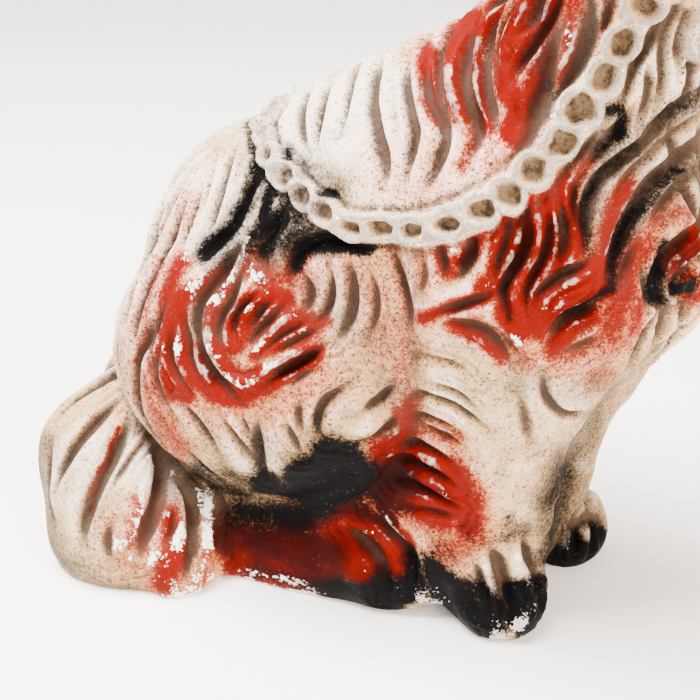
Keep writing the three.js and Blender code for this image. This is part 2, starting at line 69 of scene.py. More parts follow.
class SpanielSettings(bpy.types.PropertyGroup):
    height: bpy.props.FloatProperty(
        name="Height", description="Height of the cast from the shelf to the crown",
        default=0.33, min=0.2, max=0.42, unit="LENGTH")
    grain: bpy.props.FloatProperty(
        name="Sculpting grain", description="Spacing of the points that are carved",
        default=0.00102, min=0.0006, max=0.004, unit="LENGTH")
    lock_depth: bpy.props.FloatProperty(
        name="Lock depth", description="Depth of a full groove between two fur locks",
        default=0.0044, min=0, max=0.006, unit="LENGTH")
    link_width: bpy.props.FloatProperty(
        name="Link width", description="Width of the relief chain",
        default=0.0118, min=0.006, max=0.02, unit="LENGTH")
    link_rise: bpy.props.FloatProperty(
        name="Link rise", description="How far the chain stands out of the fur",
        default=0.0026, min=0, max=0.006, unit="LENGTH")
    cream: bpy.props.FloatVectorProperty(
        name="Cream", description="Aged ivory ground coat",
        default=(0.50, 0.325, 0.155), min=0, max=1, subtype="COLOR")
    # Also the white of pale ridge lips and crests, partly painted highlight.
    plaster: bpy.props.FloatVectorProperty(
        name="Plaster", description="Bare white plaster where the paint flaked off",
        default=(0.74, 0.61, 0.48), min=0, max=1, subtype="COLOR")
    scarlet: bpy.props.FloatVectorProperty(
        name="Scarlet", description="Sprayed orange red",
        default=(0.120, 0.0019, 0.0004), min=0, max=1, subtype="COLOR")
    maroon: bpy.props.FloatVectorProperty(
        name="Maroon", description="Sprayed red where it lies thick",
        default=(0.021, 0.0017, 0.0012), min=0, max=1, subtype="COLOR")
    # Black paint of paws and patches, also used as painted shade under the haunch, on the far leg and beside
    # the chain.
    soot: bpy.props.FloatVectorProperty(
        name="Soot black", description="Sprayed black of paws and shadows",
        default=(0.0024, 0.0024, 0.0026), min=0, max=1, subtype="COLOR")
    # Also the colour of the painted shade in valleys, creases, on the far leg and along the chain.
    antique: bpy.props.FloatVectorProperty(
        name="Antique grey", description="Grey brown glaze wiped into the grooves",
        default=(0.062, 0.041, 0.028), min=0, max=1, subtype="COLOR")


# The solid's own masses, in hundredths of the height, in the order in which they melt together.
def mass(centre, radii, blend, turn=0.0, tilt=0.0):
    a, b = math.radians(turn), math.radians(-tilt)
    yaw = np.array([[math.cos(a), -math.sin(a), 0], [math.sin(a), math.cos(a), 0], [0, 0, 1]])
    pitch = np.array([[math.cos(b), 0, math.sin(b)], [0, 1, 0], [-math.sin(b), 0, math.cos(b)]])
    c, r, axes = np.array(centre, float), np.array(radii, float), yaw @ pitch

    def distance(p):
        q = (p - c) @ axes / r
        inner = np.linalg.norm(q, axis=1)
        outer = np.linalg.norm(q / r, axis=1)
        return inner * (inner - 1) / np.maximum(outer, 1e-9)

    return distance, blend, c, max(radii)


def limb(start, start_radius, end, end_radius, blend):
    a, b = np.array(start, float), np.array(end, float)
    along = b - a

    def distance(p):
        t = np.clip((p - a) @ along / (along @ along), 0, 1)
        return np.linalg.norm(p - a - t[:, None] * along,
                              axis=1) - start_radius - (end_radius - start_radius) * t

    reach = np.linalg.norm(along) / 2 + max(start_radius, end_radius)
    return distance, blend, (a + b) / 2, reach


def both(make):
    return [make(1), make(-1)]


FACE = 14.5
PARTS = {
    "torso": [
        mass((-14, 0, 26), (17, 14, 20.5), 3),
        limb((-10.5, 0, 42.4), 13.8, (14, 0, 54.6), 14.8, 6),
        mass((22.5, 0, 50), (18.4, 15, 19), 5),
        limb((23.5, 0, 58), 14.2, (31.2, -1, 79), 10.6, 4),
        mass((0, 0, 10), (27, 12.5, 19), 4),
        mass((8, 0, 30), (20, 12.6, 24), 5),
        mass((21, 0, 14), (6, 8, 26), 3),
    ],
    "haunch": both(lambda s: mass((-7.6, -9.6 * s, 29.4), (19.8, 9.2, 17), 1.8, 0, 8)),
    "shoulder": both(lambda s: mass((17, -8 * s, 47), (15, 8, 17), 6, 0, 14)),
    "foot": both(lambda s: mass((4, -9.2 * s, 4.6), (13, 5, 6.2), 2)),
    "base": both(lambda s: mass((-7, -8 * s, 3), (13, 6.6, 7), 3)),
    "near_leg": [limb((22.6, -5.4, 44), 11.4, (18.4, -6.2, 10), 6, 5)],
    "far_leg": [
        limb((32.4, 4.4, 46), 9.2, (27.8, 6.4, 31), 5.8, 6),
        limb((27.8, 6.4, 31), 5.8, (24.8, 6.8, 9), 4.2, 4),
    ],
    "near_paw": [mass((22, -6.2, 3.2), (7.4, 6, 5.2), 2.4, -42)],
    "far_paw": [mass((27, 9, 3.6), (5.6, 5.2, 5), 1.6, 20)],
    "tail": [
        limb((-30, 0, 19), 5.5, (-33.4, -8, 9), 8, 3),
        limb((-33.4, -8, 9), 8, (-27, -14.2, 3), 8.6, 4),
        limb((-27, -14.2, 3), 8.6, (-17.4, -16.2, 2), 5.4, 4),
    ],
    "head": [
        mass((31.2, -2.2, 89.4), (10, 10, 10.4), 3, FACE),
        mass((33, -8, 84.4), (8, 5.6, 5.4), 3, FACE),
        mass((33.6, -11.4, 84.2), (5.6, 6.2, 4.8), 1.6, FACE),
    ],
    "nose": [mass((34.9, -16.6, 86.4), (2.5, 1.7, 1.8), 0.6, FACE)],
    "brow": [
        mass((29.6, -10.4, 93.4), (3, 2.2, 1.7), 1.2, FACE, 14),
        mass((36.4, -8.7, 93.4), (3, 2.2, 1.7), 1.2, FACE, -14),
    ],
    "eye": [
        mass((30, -11.4, 90.6), (1.9, 1.5, 1.7), 0.4, FACE),
        mass((36.8, -9.6, 90.6), (1.9, 1.5, 1.7), 0.4, FACE),
    ],
    "ear": [
        mass((21.4, -5.4, 90), (3.2, 4.6, 7), 2, FACE, -8),
        mass((20.6, -6.2, 84), (3.4, 5.8, 6.6), 2.4, FACE, -12),
        mass((41.6, -0.2, 90), (3.2, 4.6, 7), 2, FACE, 8),
        mass((42.6, -0.8, 84), (3.4, 5.8, 6.6), 2.4, FACE, 12),
    ],
}


def form(p):
    """Signed distance of points, in hundredths of the height, to the smooth form."""
    d = np.full(len(p), 40.0)
    for group in PARTS.values():
        for distance, blend, centre, reach in group:
            near = np.flatnonzero(np.abs(p - centre).max(axis=1) < reach + blend + 2)
            e = distance(p[near])
            gap = np.clip(blend - np.abs(d[near] - e), 0, None) / blend
            d[near] = np.minimum(d[near], e) - gap * gap * blend / 4
    return d


def outward(p):
    """The direction of steepest climb out of the form."""
    step = 0.12
    here = form(p)
    climb = np.stack([form(p + step * axis) - here for axis in np.eye(3)], axis=1)
    return climb / np.maximum(np.linalg.norm(climb, axis=1), 1e-9)[:, None], here


def part_of(p):
    """The name's number of the mass group that each point lies on."""
    best, label = np.full(len(p), 1e9), np.zeros(len(p), int)
    for number, group in enumerate(PARTS.values()):
        for distance, _, centre, reach in group:
            near = np.flatnonzero(np.abs(p - centre).max(axis=1) < reach + 6)
            e = distance(p[near])
            won = e < best[near]
            best[near[won]], label[near[won]] = e[won], number
    return label


def to_shares(p, share):
    return (p + CENTRE) / share


def to_metres(p, share):
    return np.asarray(p, float) * share - CENTRE


def mirrored(p):
    """The same place on the dog's other side."""
    q = p + CENTRE
    q[..., 1] *= -1
    return q - CENTRE


def pixels_of(p):
    offset = p - EYE
    depth = -(offset @ BACK)
    half = SIZE_PX / 2
    return half + FOCAL_PX * (offset @ RIGHT) / depth, half - FOCAL_PX * (offset @ UP) / depth


def smooth(low, high, v):
    t = np.clip((v - low) / (high - low), 0, 1)
    return t * t * (3 - 2 * t)


def flowing(points, spacing):
    """A Catmull-Rom line through a few points, sampled evenly."""
    points = np.asarray(points, float)
    if len(points) < 2:
        return points
    padded = np.vstack([2 * points[0] - points[1], points, 2 * points[-1] - points[-2]])
    out = []
    for a, b, c, d in zip(padded, padded[1:], padded[2:], padded[3:]):
        steps = max(1, int(np.linalg.norm(c - b) / spacing))
        t = (np.arange(steps) / steps)[:, None]
        square = 2 * a - 5 * b + 4 * c - d
        cube = 3 * b - a - 3 * c + d
        out.append(0.5 * (2 * b + (c - a) * t + square * t**2 + cube * t**3))
    return np.vstack([*out, points[-1:]])


# Fur as the photograph shows it: depth as a share of a full groove, half width in millimetres, and its line.
FUR_SEEN = [
    # back, above the chain
    (0.5, 1.4, [(292, 98), (282, 112), (275, 124)]),
    (0.9, 1.9, [(310, 88), (303, 103), (300, 122), (303, 140), (310, 154)]),
    (0.9, 1.9, [(334, 80), (326, 92), (321, 108), (318, 126), (316, 144), (319, 153)]),
    (0.8, 1.7, [(358, 64), (351, 82), (347, 100), (344, 118), (339, 138)]),
    (1.0, 2.8,
     [(380, 58), (373, 80), (370, 100), (372, 118), (376, 138), (382, 158), (384, 178), (381, 198)]),
    (0.5, 1.4, [(398, 70), (392, 100), (394, 130), (398, 160)]),
    (1.0, 2.1,
     [(408, 58), (404, 82), (406, 100), (410, 118), (413, 132), (410, 150), (406, 168), (403, 196)]),
    (0.7, 1.6, [(439, 30), (429, 36), (421, 47)]),
    (1.0, 2.5,
     [(432, 52), (425, 72), (426, 90), (433, 108), (441, 122), (442, 138), (438, 156), (430, 178),
      (420, 200)]),
    (0.9, 1.8,
     [(458, 22), (446, 40), (438, 56), (436, 76), (438, 95), (443, 112), (447, 128), (447, 142), (443, 158)]),
    (1.0, 2.4,
     [(480, 16), (468, 42), (462, 66), (464, 88), (470, 106), (476, 122), (477, 137), (471, 152),
      (462, 170)]),
    (1.0, 2.6,
     [(508, -2), (494, 22), (485, 46), (482, 70), (484, 90), (489, 106), (493, 120), (494, 134), (490, 150)]),
    (0.8, 1.5, [(524, -8), (509, 11), (501, 26), (495, 44), (494, 62), (496, 76), (500, 92)]),
    (1.0, 2.3, [(568, -12), (556, 6), (546, 22), (535, 38), (526, 53), (518, 68), (511, 84)]),
    (0.9, 1.9, [(548, -16), (539, 0), (531, 12), (524, 26), (518, 36)]),
    (1.0, 3.4, [(566, 8), (554, 32), (546, 56), (544, 80), (538, 100), (532, 120), (526, 140), (518, 156)]),
    (1.0, 2.7, [(594, -16), (590, 6), (588, 28), (584, 46), (577, 62), (567, 80), (558, 96), (548, 114)]),
    (0.4, 1.4, [(512, 96), (516, 116), (514, 138)]),
    (0.4, 1.4, [(472, 36), (470, 56), (474, 84), (481, 108), (485, 128)]),
    (0.6, 1.5, [(612, -14), (607, 10), (604, 34), (600, 52)]),
    # between the chain and the cropped neck
    (0.9, 1.7,
     [(666, -12), (664, 4), (660, 22), (652, 37), (644, 52), (635, 63), (630, 76), (627, 90), (619, 102)]),
    (0.7, 1.6,
     [(684, -10), (676, 10), (668, 26), (664, 42), (663, 60), (664, 78), (660, 98), (654, 116), (648, 130)]),
    (0.7, 1.6, [(655, 52), (649, 70), (650, 86), (648, 102), (640, 118), (630, 134)]),
    (0.5, 1.5, [(698, -8), (688, 10), (682, 30), (678, 50), (680, 72), (678, 92)]),
    (0.6, 1.4, [(706, 2), (693, 20), (687, 40), (690, 58), (698, 72), (708, 80)]),
    (0.9, 2.2, [(640, 98), (630, 114), (620, 128), (607, 142), (594, 156), (583, 172), (575, 188)]),
    (0.7, 1.5, [(604, 128), (592, 140), (580, 154), (566, 168), (556, 182)]),
    # rump
    (0.5, 1.4, [(163, 212), (156, 232), (149, 253), (141, 273), (133, 293), (127, 318)]),
    (0.9, 2.0,
     [(192, 188), (180, 214), (173, 236), (162, 258), (151, 280), (142, 302), (137, 322), (134, 346)]),
    (1.0, 2.6,
     [(158, 312), (148, 334), (139, 360), (136, 384), (139, 406), (149, 426), (162, 446), (178, 466)]),
    (0.7, 1.5, [(170, 288), (163, 306), (157, 324), (151, 345), (154, 366), (161, 385), (168, 404)]),
    (0.6, 1.4, [(206, 168), (198, 196), (190, 220), (182, 244), (176, 262)]),
    (0.5, 1.3, [(216, 160), (208, 186), (202, 206), (195, 226)]),
    (1.1, 3.4, [(262, 160), (250, 184), (240, 205), (229, 224), (216, 240), (204, 254), (192, 266)]),
    (0.9, 1.8, [(238, 142), (230, 162), (223, 184), (217, 204), (209, 226), (199, 246)]),
    (1.1, 2.8,
     [(243, 238), (230, 258), (218, 276), (208, 290), (200, 305), (197, 325), (200, 346), (208, 364),
      (218, 379),
                (230, 392), (243, 406)]),
    (0.8, 1.6, [(188, 300), (184, 320), (187, 340), (190, 360), (199, 380), (210, 396)]),
    (0.8, 1.6, [(175, 322), (169, 346), (172, 364), (181, 382), (196, 398)]),
    (0.7, 1.5, [(163, 336), (157, 360), (159, 382), (167, 402), (178, 420)]),
    # swirl on the haunch
    (1.0, 2.2, [(262, 383), (280, 371), (298, 363), (314, 353), (328, 342)]),
    (0.9, 1.8, [(246, 262), (237, 284), (230, 300), (221, 315), (219, 330), (222, 346), (230, 358)]),
    (0.8, 1.6, [(262, 288), (248, 299), (238, 308), (233, 322), (235, 338), (241, 346)]),
    (0.8, 1.7, [(276, 298), (262, 308), (252, 322), (245, 338)]),
    (0.9, 1.9, [(290, 302), (272, 316), (259, 330), (249, 345), (243, 360)]),
    (0.7, 1.4, [(312, 316), (297, 326), (280, 335), (268, 346), (257, 357)]),
    (0.7, 1.5, [(322, 328), (302, 337), (286, 346), (271, 357)]),
    (0.7, 1.5, [(328, 258), (334, 280), (332, 300), (324, 315), (311, 327)]),
    (0.8, 2.4, [(346, 252), (352, 276), (353, 298), (350, 316), (343, 331), (333, 344)]),
    (0.5, 1.4, [(302, 272), (311, 288), (309, 304), (300, 316)]),
    (1.2, 3.2, [(291, 280), (293, 262), (300, 250), (312, 243), (328, 240), (345, 242), (362, 247)]),
    (0.9, 2.8, [(286, 204), (276, 220), (266, 236), (262, 252), (268, 268)]),
    (0.5, 1.5, [(366, 262), (374, 290), (374, 318), (366, 342)]),
    # haunch lobes and lower edge
    (0.8, 1.8, [(352, 381), (338, 390), (325, 401), (318, 415), (318, 430), (326, 440)]),
    (0.7, 1.5, [(394, 384), (382, 396), (370, 403), (354, 411)]),
    (0.7, 1.5, [(399, 414), (386, 428), (371, 438), (348, 441)]),
    (0.9, 2.6, [(257, 416), (256, 438), (259, 458), (266, 478)]),
    (0.7, 1.5, [(216, 410), (229, 424), (240, 440), (250, 455), (260, 470)]),
    (0.6, 1.4, [(284, 416), (292, 434), (301, 452)]),
    (0.7, 1.6, [(178, 400), (190, 412), (205, 430), (218, 450)]),
    (0.5, 1.4, [(240, 412), (246, 428), (249, 446)]),
    (0.6, 1.6, [(300, 398), (298, 418), (304, 438)]),
    (0.6, 1.5, [(318, 368), (302, 376), (286, 388)]),
    (0.7, 1.6, [(190, 452), (205, 466), (224, 480)]),
    # shoulder and chest
    (0.7, 1.6, [(505, 212), (509, 230), (504, 246), (498, 262), (494, 278), (487, 292)]),
    (1.1, 2.0,
     [(526, 206), (530, 228), (527, 248), (519, 264), (508, 279), (502, 293), (505, 308), (512, 326)]),
    (0.9, 1.7, [(545, 200), (548, 222), (548, 240), (541, 262), (531, 278), (525, 296), (527, 318)]),
    (0.9, 1.7, [(558, 192), (563, 214), (566, 238), (563, 256), (554, 272)]),
    (1.1, 2.2,
     [(706, 86), (684, 102), (667, 117), (655, 132), (640, 148), (620, 162), (603, 176), (592, 192),
      (587, 210),
                (586, 230), (590, 252)]),
    (1.0, 2.0, [(592, 256), (580, 267), (566, 274), (552, 283), (540, 294), (533, 310)]),
    (1.2, 2.4,
     [(708, 134), (688, 150), (668, 168), (650, 184), (637, 205), (626, 226), (618, 246), (611, 264),
      (606, 284)]),
    (1.0, 2.2, [(606, 284), (600, 298), (584, 310), (566, 318), (555, 330), (547, 346)]),
    (0.8, 1.8, [(708, 162), (688, 178), (670, 194), (656, 212), (644, 230)]),
    (0.6, 1.5, [(706, 110), (684, 126), (664, 142), (646, 160), (630, 174), (616, 192), (610, 212)]),
    (0.7, 1.5, [(638, 240), (630, 256), (624, 270), (618, 284)]),
    (0.7, 1.5, [(644, 250), (643, 270), (647, 290), (648, 310), (640, 330)]),
    (0.6, 1.4, [(598, 156), (586, 172), (576, 190), (573, 212), (576, 236)]),
    (1.0, 2.6, [(708, 218), (688, 236), (672, 250), (661, 264), (657, 282), (661, 302), (664, 320)]),
    (0.9, 2.2, [(706, 254), (690, 268), (678, 280), (675, 292), (682, 302)]),
    (0.8, 1.5, [(706, 296), (686, 306), (668, 318), (655, 328)]),
    (0.8, 1.6, [(388, 246), (395, 268), (402, 290), (407, 310), (408, 332)]),
    (0.7, 1.5, [(437, 242), (443, 262), (444, 282)]),
    (0.9, 2.4, [(472, 232), (471, 252), (463, 270), (452, 284)]),
    (0.4, 1.4, [(420, 250), (424, 272), (420, 296)]),
    (0.9, 1.8, [(503, 286), (486, 297), (468, 303), (450, 309), (430, 315)]),
    (0.9, 2.3, [(440, 321), (460, 324), (478, 330), (492, 340), (504, 353), (514, 364)]),
    (0.5, 1.3, [(470, 318), (486, 326), (500, 336), (514, 350), (524, 362)]),
    (0.7, 1.5, [(543, 370), (544, 390), (552, 405), (565, 413), (584, 414)]),
    (0.5, 1.5, [(560, 352), (580, 346), (602, 334)]),
    # flank
    (0.4, 1.3, [(412, 358), (440, 361), (460, 367), (477, 381)]),
    (0.6, 1.4, [(424, 385), (445, 389), (462, 397), (479, 412)]),
    (0.8, 1.6, [(406, 396), (430, 399), (450, 404), (470, 416), (490, 431)]),
    (0.6, 1.4, [(404, 419), (430, 420), (450, 427), (466, 438)]),
    (0.6, 1.6, [(414, 424), (432, 431), (450, 438), (466, 450)]),
    (0.8, 1.8, [(394, 447), (412, 446), (430, 450), (445, 458), (456, 468)]),
    (0.9, 2.0, [(388, 460), (406, 462), (424, 467), (440, 474), (458, 486)]),
    (0.8, 1.8, [(392, 479), (410, 483), (428, 491), (444, 498), (460, 506)]),
    (0.6, 1.6, [(412, 507), (434, 512), (456, 515)]),
    (0.4, 1.8, [(518, 392), (524, 416), (530, 444)]),
    # tail
    (0.7, 1.6, [(120, 344), (105, 355), (91, 366), (79, 378), (68, 392)]),
    (0.9, 2.4, [(122, 370), (108, 378), (94, 387), (80, 397), (68, 407), (57, 420)]),
    (0.9, 2.4, [(124, 398), (110, 409), (98, 420), (87, 433), (77, 446), (68, 460), (60, 476), (55, 494)]),
    (1.1, 2.7, [(130, 416), (122, 440), (112, 460), (102, 478), (94, 494), (88, 510), (84, 528), (85, 548)]),
    (0.6, 1.5, [(152, 434), (138, 449), (125, 466), (115, 481), (106, 498)]),
    (1.1, 3.2, [(160, 436), (163, 462), (160, 485), (156, 505), (150, 521), (143, 540), (137, 560)]),
    (1.0, 2.6, [(180, 480), (188, 498), (193, 520), (193, 545), (188, 566), (183, 584)]),
    (0.8, 3.0, [(213, 488), (218, 508), (220, 530), (220, 552)]),
    (0.5, 1.4, [(52, 440), (50, 470), (50, 500), (56, 525)]),
    (0.5, 1.4, [(112, 520), (108, 540), (110, 562)]),
    (0.5, 1.3, [(175, 505), (172, 530), (165, 552)]),
    # hind foot
    (1.1, 3.2, [(346, 524), (356, 534), (366, 543), (375, 554), (382, 568), (387, 584), (388, 598)]),
    (1.1, 2.8, [(366, 510), (382, 522), (396, 536), (406, 550), (410, 564), (411, 580), (408, 594)]),
    # paws
    (1.1, 3.2, [(488, 546), (497, 560), (504, 578), (507, 598), (507, 618), (503, 634)]),
    (0.9, 2.0, [(521, 536), (528, 556), (534, 574), (538, 594), (536, 612)]),
    (0.6, 1.8, [(474, 560), (480, 576), (484, 594), (486, 612)]),
    (0.8, 1.7, [(584, 502), (590, 518), (592, 535), (588, 556)]),
    (0.8, 1.7, [(572, 514), (575, 534), (572, 558)]),
    (0.6, 1.4, [(595, 508), (600, 524), (600, 542)]),
]

# Folds that stand proud of their surroundings, in the same terms.
FOLDS_SEEN = [
    (0.5, 2.4,
     [(226, 268), (212, 290), (206, 310), (208, 335), (216, 356), (229, 373), (246, 381), (262, 374),
      (284, 360),
                (316, 344)]),
    (0.4, 1.6, [(537, 208), (539, 240), (535, 258), (526, 271), (519, 284), (516, 300), (517, 322)]),
    (0.4, 1.8, [(602, 262), (586, 270), (570, 279), (555, 286), (543, 296), (536, 308), (533, 322)]),
    (0.6, 5.0, [(336, 152), (350, 160), (362, 172)]),
    (0.4, 1.8, [(378, 504), (392, 518), (404, 532), (414, 548)]),
    (0.4, 2.0, [(202, 488), (209, 506), (210, 540)]),
    (0.4, 1.2, [(266, 178), (258, 200), (250, 222), (243, 246)]),
    (0.4, 1.2, [(286, 200), (273, 216), (264, 230), (260, 246)]),
    (0.5, 3.0, [(404, 352), (404, 392), (398, 436), (380, 468), (356, 492), (332, 508)]),
    (0.3, 1.8, [(620, 130), (604, 142), (590, 156), (576, 172), (562, 188)]),
    (0.5, 4.0, [(345, 400), (362, 408), (362, 424), (346, 430)]),
]

# Broad hollows, in the same terms, and with a minus sign swellings.
HOLLOWS_SEEN = [
    (-0.5, 8.0, [(350, 400), (352, 425)]), (-0.35, 6.0, [(288, 425), (282, 462)]),
    (-0.4, 7.0, [(232, 425), (244, 460)]),
    (-0.35, 7.0, [(338, 280), (342, 310)]), (-0.4, 8.0, [(140, 450), (125, 520)]),
    (-0.4, 7.0, [(92, 450), (72, 500)]),
    (-0.4, 6.0, [(172, 500), (168, 555)]), (-0.35, 6.0, [(360, 575), (340, 560)]),
    (-0.3, 5.0, [(455, 580), (470, 610)]),
    (-0.4, 7.0, [(150, 360), (158, 400)]), (-0.35, 6.0, [(250, 350), (230, 340)]),
    (-0.3, 6.0, [(575, 290), (555, 305)]),
    (-0.3, 7.0, [(565, 385), (570, 400)]), (-0.3, 6.0, [(430, 470), (448, 492)]),
    (-0.55, 6.0, [(580, 462), (588, 482), (590, 500)]), (-0.4, 4.0, [(568, 540), (572, 556)]),
    (-0.4, 4.0, [(588, 530), (590, 548)]),
    (0.5, 7.0, [(384, 246), (394, 280), (400, 320)]),
    (0.7, 6.0, [(414, 350), (414, 400), (408, 440), (390, 474), (362, 500)]),
    (0.5, 7.0, [(150, 442), (176, 466), (206, 492), (250, 514), (300, 520)]),
    (0.5, 6.0, [(300, 168), (312, 180), (330, 192)]),
    (0.4, 8.0, [(520, 180), (560, 170)]),
]

# Fur that the photograph leaves out: families of locks between guide lines, in hundredths of the height.
FUR_UNSEEN = [
    (3, 1,
     [[(20, -1.5, 80), (17.5, -2, 74.5), (13, -2, 70)], [(25.5, -9.5, 79), (24, -10, 74), (22, -10.5, 70)]]),
    (5, 0, [[(-31, -4, 24), (-37, -6, 16), (-40, -9, 8), (-39.5, -12, 2)],
            [(-29, 5, 22), (-34, 5, 14), (-34, 3, 8), (-32, -2, 2)]]),
    (5, 1, [[(-19, -1.5, 53.5), (-25, -2, 46), (-29, -2.5, 36), (-30.5, -2, 27)],
            [(-15, -6, 54), (-20, -10, 46), (-24, -11, 38), (-25.5, -12, 31)]]),
    (3, 1, [[(36, -9, 66), (39.5, -7, 58), (41, -4, 52), (39, -4, 46)],
            [(38, -2, 67), (41.5, -1.5, 60), (41.5, -1, 52), (39.5, -1.5, 45)]]),
    (4, 1, [[(40, -9, 50), (38.5, -9, 44), (35, -7.5, 38)], [(41, -1, 48), (39, -1.5, 41), (36, -1.5, 34)]]),
    (3, 1, [[(36.5, -8, 74), (38, -9, 70), (38.5, -9.5, 65)], [(38.5, -2, 75), (40, -2, 70), (40, -2, 64)]]),
    (3, 0, [[(24, -6, 98), (22.5, -7, 95), (22, -7.5, 92)], [(29, -2, 100), (26, 1, 97.5), (23.5, 2.5, 93)]]),
    (2, 0, [[(35, 3.5, 98), (39, 3, 95), (41, 2.5, 91)], [(31, 6, 97), (34, 7.5, 93), (36, 8, 88)]]),
    (3, 0,
     [[(19, -9.5, 93), (18, -10.5, 88), (18.5, -10.5, 81)], [(19.5, -3, 94), (18, -3, 88), (18, -3.5, 80)]]),
    (3, 0, [[(45, -4.5, 93), (46, -4, 88), (46.5, -4, 81)], [(44.5, 2, 94), (45.5, 3, 88), (46, 3, 81)]]),
    (1, 0, [[(31.5, -15.5, 82.6), (34.6, -19, 82.2), (38, -14, 82.8)]]),
]

CHAIN_LINKS = [
    (668, -44), (656, -22), (645, 3), (624, 42), (605, 76), (580, 110), (561, 143), (532, 172), (508, 194),
    (482, 210), (448, 223), (413, 229), (381, 229), (350, 226), (325, 212), (303, 195), (284, 176),
    (270, 157),
    (267, 140), (263, 126), (258, 114),
]


class Clay:
    """The sculpted surface while it is worked on: its points, the way out of it, and where to find them."""

    def __init__(self, mesh, share):
        count = len(mesh.vertices)
        self.share = share
        self.points = np.empty(count * 3)
        mesh.vertices.foreach_get("co", self.points)
        self.points = self.points.reshape(-1, 3)
        self.faces = [tuple(p.vertices) for p in mesh.polygons]
        self.rise = np.zeros(count)
        self.groove = np.zeros(count)
        self.hollow = np.zeros(count)
        self.swell = np.zeros(count)
        self.strokes = []
        self.edges = np.array([list(e.vertices) for e in mesh.edges])

    def settle(self, rounds=3):
        """Moves the points above the shelf onto the smooth form."""
        free = np.flatnonzero(self.points[:, 2] > 0.0006)
        for _ in range(rounds):
            p = to_shares(self.points[free], self.share)
            n, d = outward(p)
            d = np.clip(d, -1.2, 1.2)
            self.points[free] = to_metres(p - 0.9 * d[:, None] * n, self.share)
        self.normals, _ = outward(to_shares(self.points, self.share))

    def index(self):
        self.tree = kdtree.KDTree(len(self.points))
        for i, p in enumerate(self.points):
            self.tree.insert(p, i)
        self.tree.balance()
        self.bvh = BVHTree.FromPolygons(self.points.tolist(), self.faces)

    def seen_at(self, pixels):
        """Where sight lines through pixels meet the surface. One that misses takes the nearest place."""
        found, depth = [], DISTANCE
        for x, y in pixels:
            ray = -BACK * FOCAL_PX + RIGHT * (x - SIZE_PX / 2) - UP * (y - SIZE_PX / 2)
            ray /= np.linalg.norm(ray)
            hit = self.bvh.ray_cast(Vector(EYE), Vector(ray))
            if hit[0] is None:
                hit = self.bvh.find_nearest(Vector(EYE + ray * depth))
            else:
                depth = hit[3]
            found.append(np.array(hit[0]))
        return np.array(found)

    def nearest(self, places):
        return np.array([self.bvh.find_nearest(Vector(p))[0] for p in places])

    def blurred(self, values, rounds):
        """The values averaged with those of the points around, again and again."""
        a, b = self.edges.T
        count = len(values)
        share = np.bincount(a, minlength=count) + np.bincount(b, minlength=count) + 1.0
        for _ in range(rounds):
            around = np.bincount(a, values[b], count) + np.bincount(b, values[a], count)
            values = (values + around) / share
        return values

    def from_strokes(self):
        """The distance of each point from the nearest groove's line."""
        line = np.vstack(self.strokes)
        tree = kdtree.KDTree(len(line))
        for i, p in enumerate(line):
            tree.insert(p, i)
        tree.balance()
        return np.array([tree.find(p)[2] for p in self.points])


def carve_line(clay, line, depth, broad, sign=1):
    """Presses a soft V into the clay along a line, or with sign -1 lays a fold on it."""
    steps = np.linalg.norm(np.diff(line, axis=0), axis=1)
    along = np.concatenate([[0], np.cumsum(steps)])
    ease = min(0.017, 0.45 * along[-1])
    if sign > 0:
        clay.strokes.append(line)
    for p, s in zip(line, along):
        ends = float(smooth(-0.0015, ease, s) * smooth(-0.0015, ease, along[-1] - s))
        width = broad * (0.5 + 0.5 * ends)
        for _, i, d in clay.tree.find_range(Vector(p), width * 2.3):
            r = d / width
            flat = min(max(1.35 - r, 0), 1)
            cut = depth * ends * (0.35 * math.exp(-0.6 * r * r) + 0.65 * flat * flat * (3 - 2 * flat))
            if sign > 0:
                if cut > clay.groove[i]:
                    clay.groove[i] = cut
            elif cut > clay.rise[i]:
                clay.rise[i] = cut


def carve_fur(clay, depth):
    millimetre = 0.001 * clay.share / 0.0033
    for share, width, pixels in FUR_SEEN:
        line = clay.seen_at(flowing(pixels, 2.4))
        carve_line(clay, line, depth * share, 1.15 * width * millimetre)
        if pixels[0][0] < 700 or pixels[0][1] < 200:
            carve_line(clay, clay.nearest(mirrored(line)), 0.8 * depth * share, 1.15 * width * millimetre)
    for share, width, pixels in FOLDS_SEEN:
        line = clay.seen_at(flowing(pixels, 2.4))
        carve_line(clay, line, depth * share, width * millimetre, -1)
        carve_line(clay, clay.nearest(mirrored(line)), 0.7 * depth * share, width * millimetre, -1)
    for share, width, pixels in HOLLOWS_SEEN:
        line = clay.seen_at(flowing(pixels, 6))
        for side in (line, clay.nearest(mirrored(line))):
            for p in side:
                for _, i, d in clay.tree.find_range(Vector(p), 2.2 * width * millimetre):
                    dent = depth * share * math.exp(-((d / (width * millimetre)) ** 2))
                    if share > 0:
                        clay.hollow[i] = max(clay.hollow[i], dent)
                    else:
                        clay.swell[i] = max(clay.swell[i], -dent)
    for count, pair, guides in FUR_UNSEEN:
        ends = [flowing(to_metres(g, clay.share), 0.0011) for g in guides]
        for n in range(count):
            t = n / max(count - 1, 1)
            even = [
                np.stack([np.interp(np.linspace(0, len(g) - 1, 60), np.arange(len(g)),
                                    g[:, k]) for k in range(3)], axis=1)
                for g in ends
            ]
            line = even[0] * (1 - t) + even[-1] * t
            beside = np.cross(np.gradient(line, axis=0), [0.3, 0, 1])
            beside /= np.linalg.norm(beside, axis=1)[:, None]
            phase = 2.4 * n + np.linspace(0, 7, 60)
            line = line + beside * (2.2 * millimetre * np.sin(phase))[:, None]
            line = clay.nearest(line[4 * (n * 5 % 3):60 - 3 * (n * 7 % 4)])
            width = (2.0 + 0.5 * (n * 3 % 4)) * millimetre
            carve_line(clay, line, depth, width)
            if pair:
                carve_line(clay, clay.nearest(mirrored(line)), depth, width)


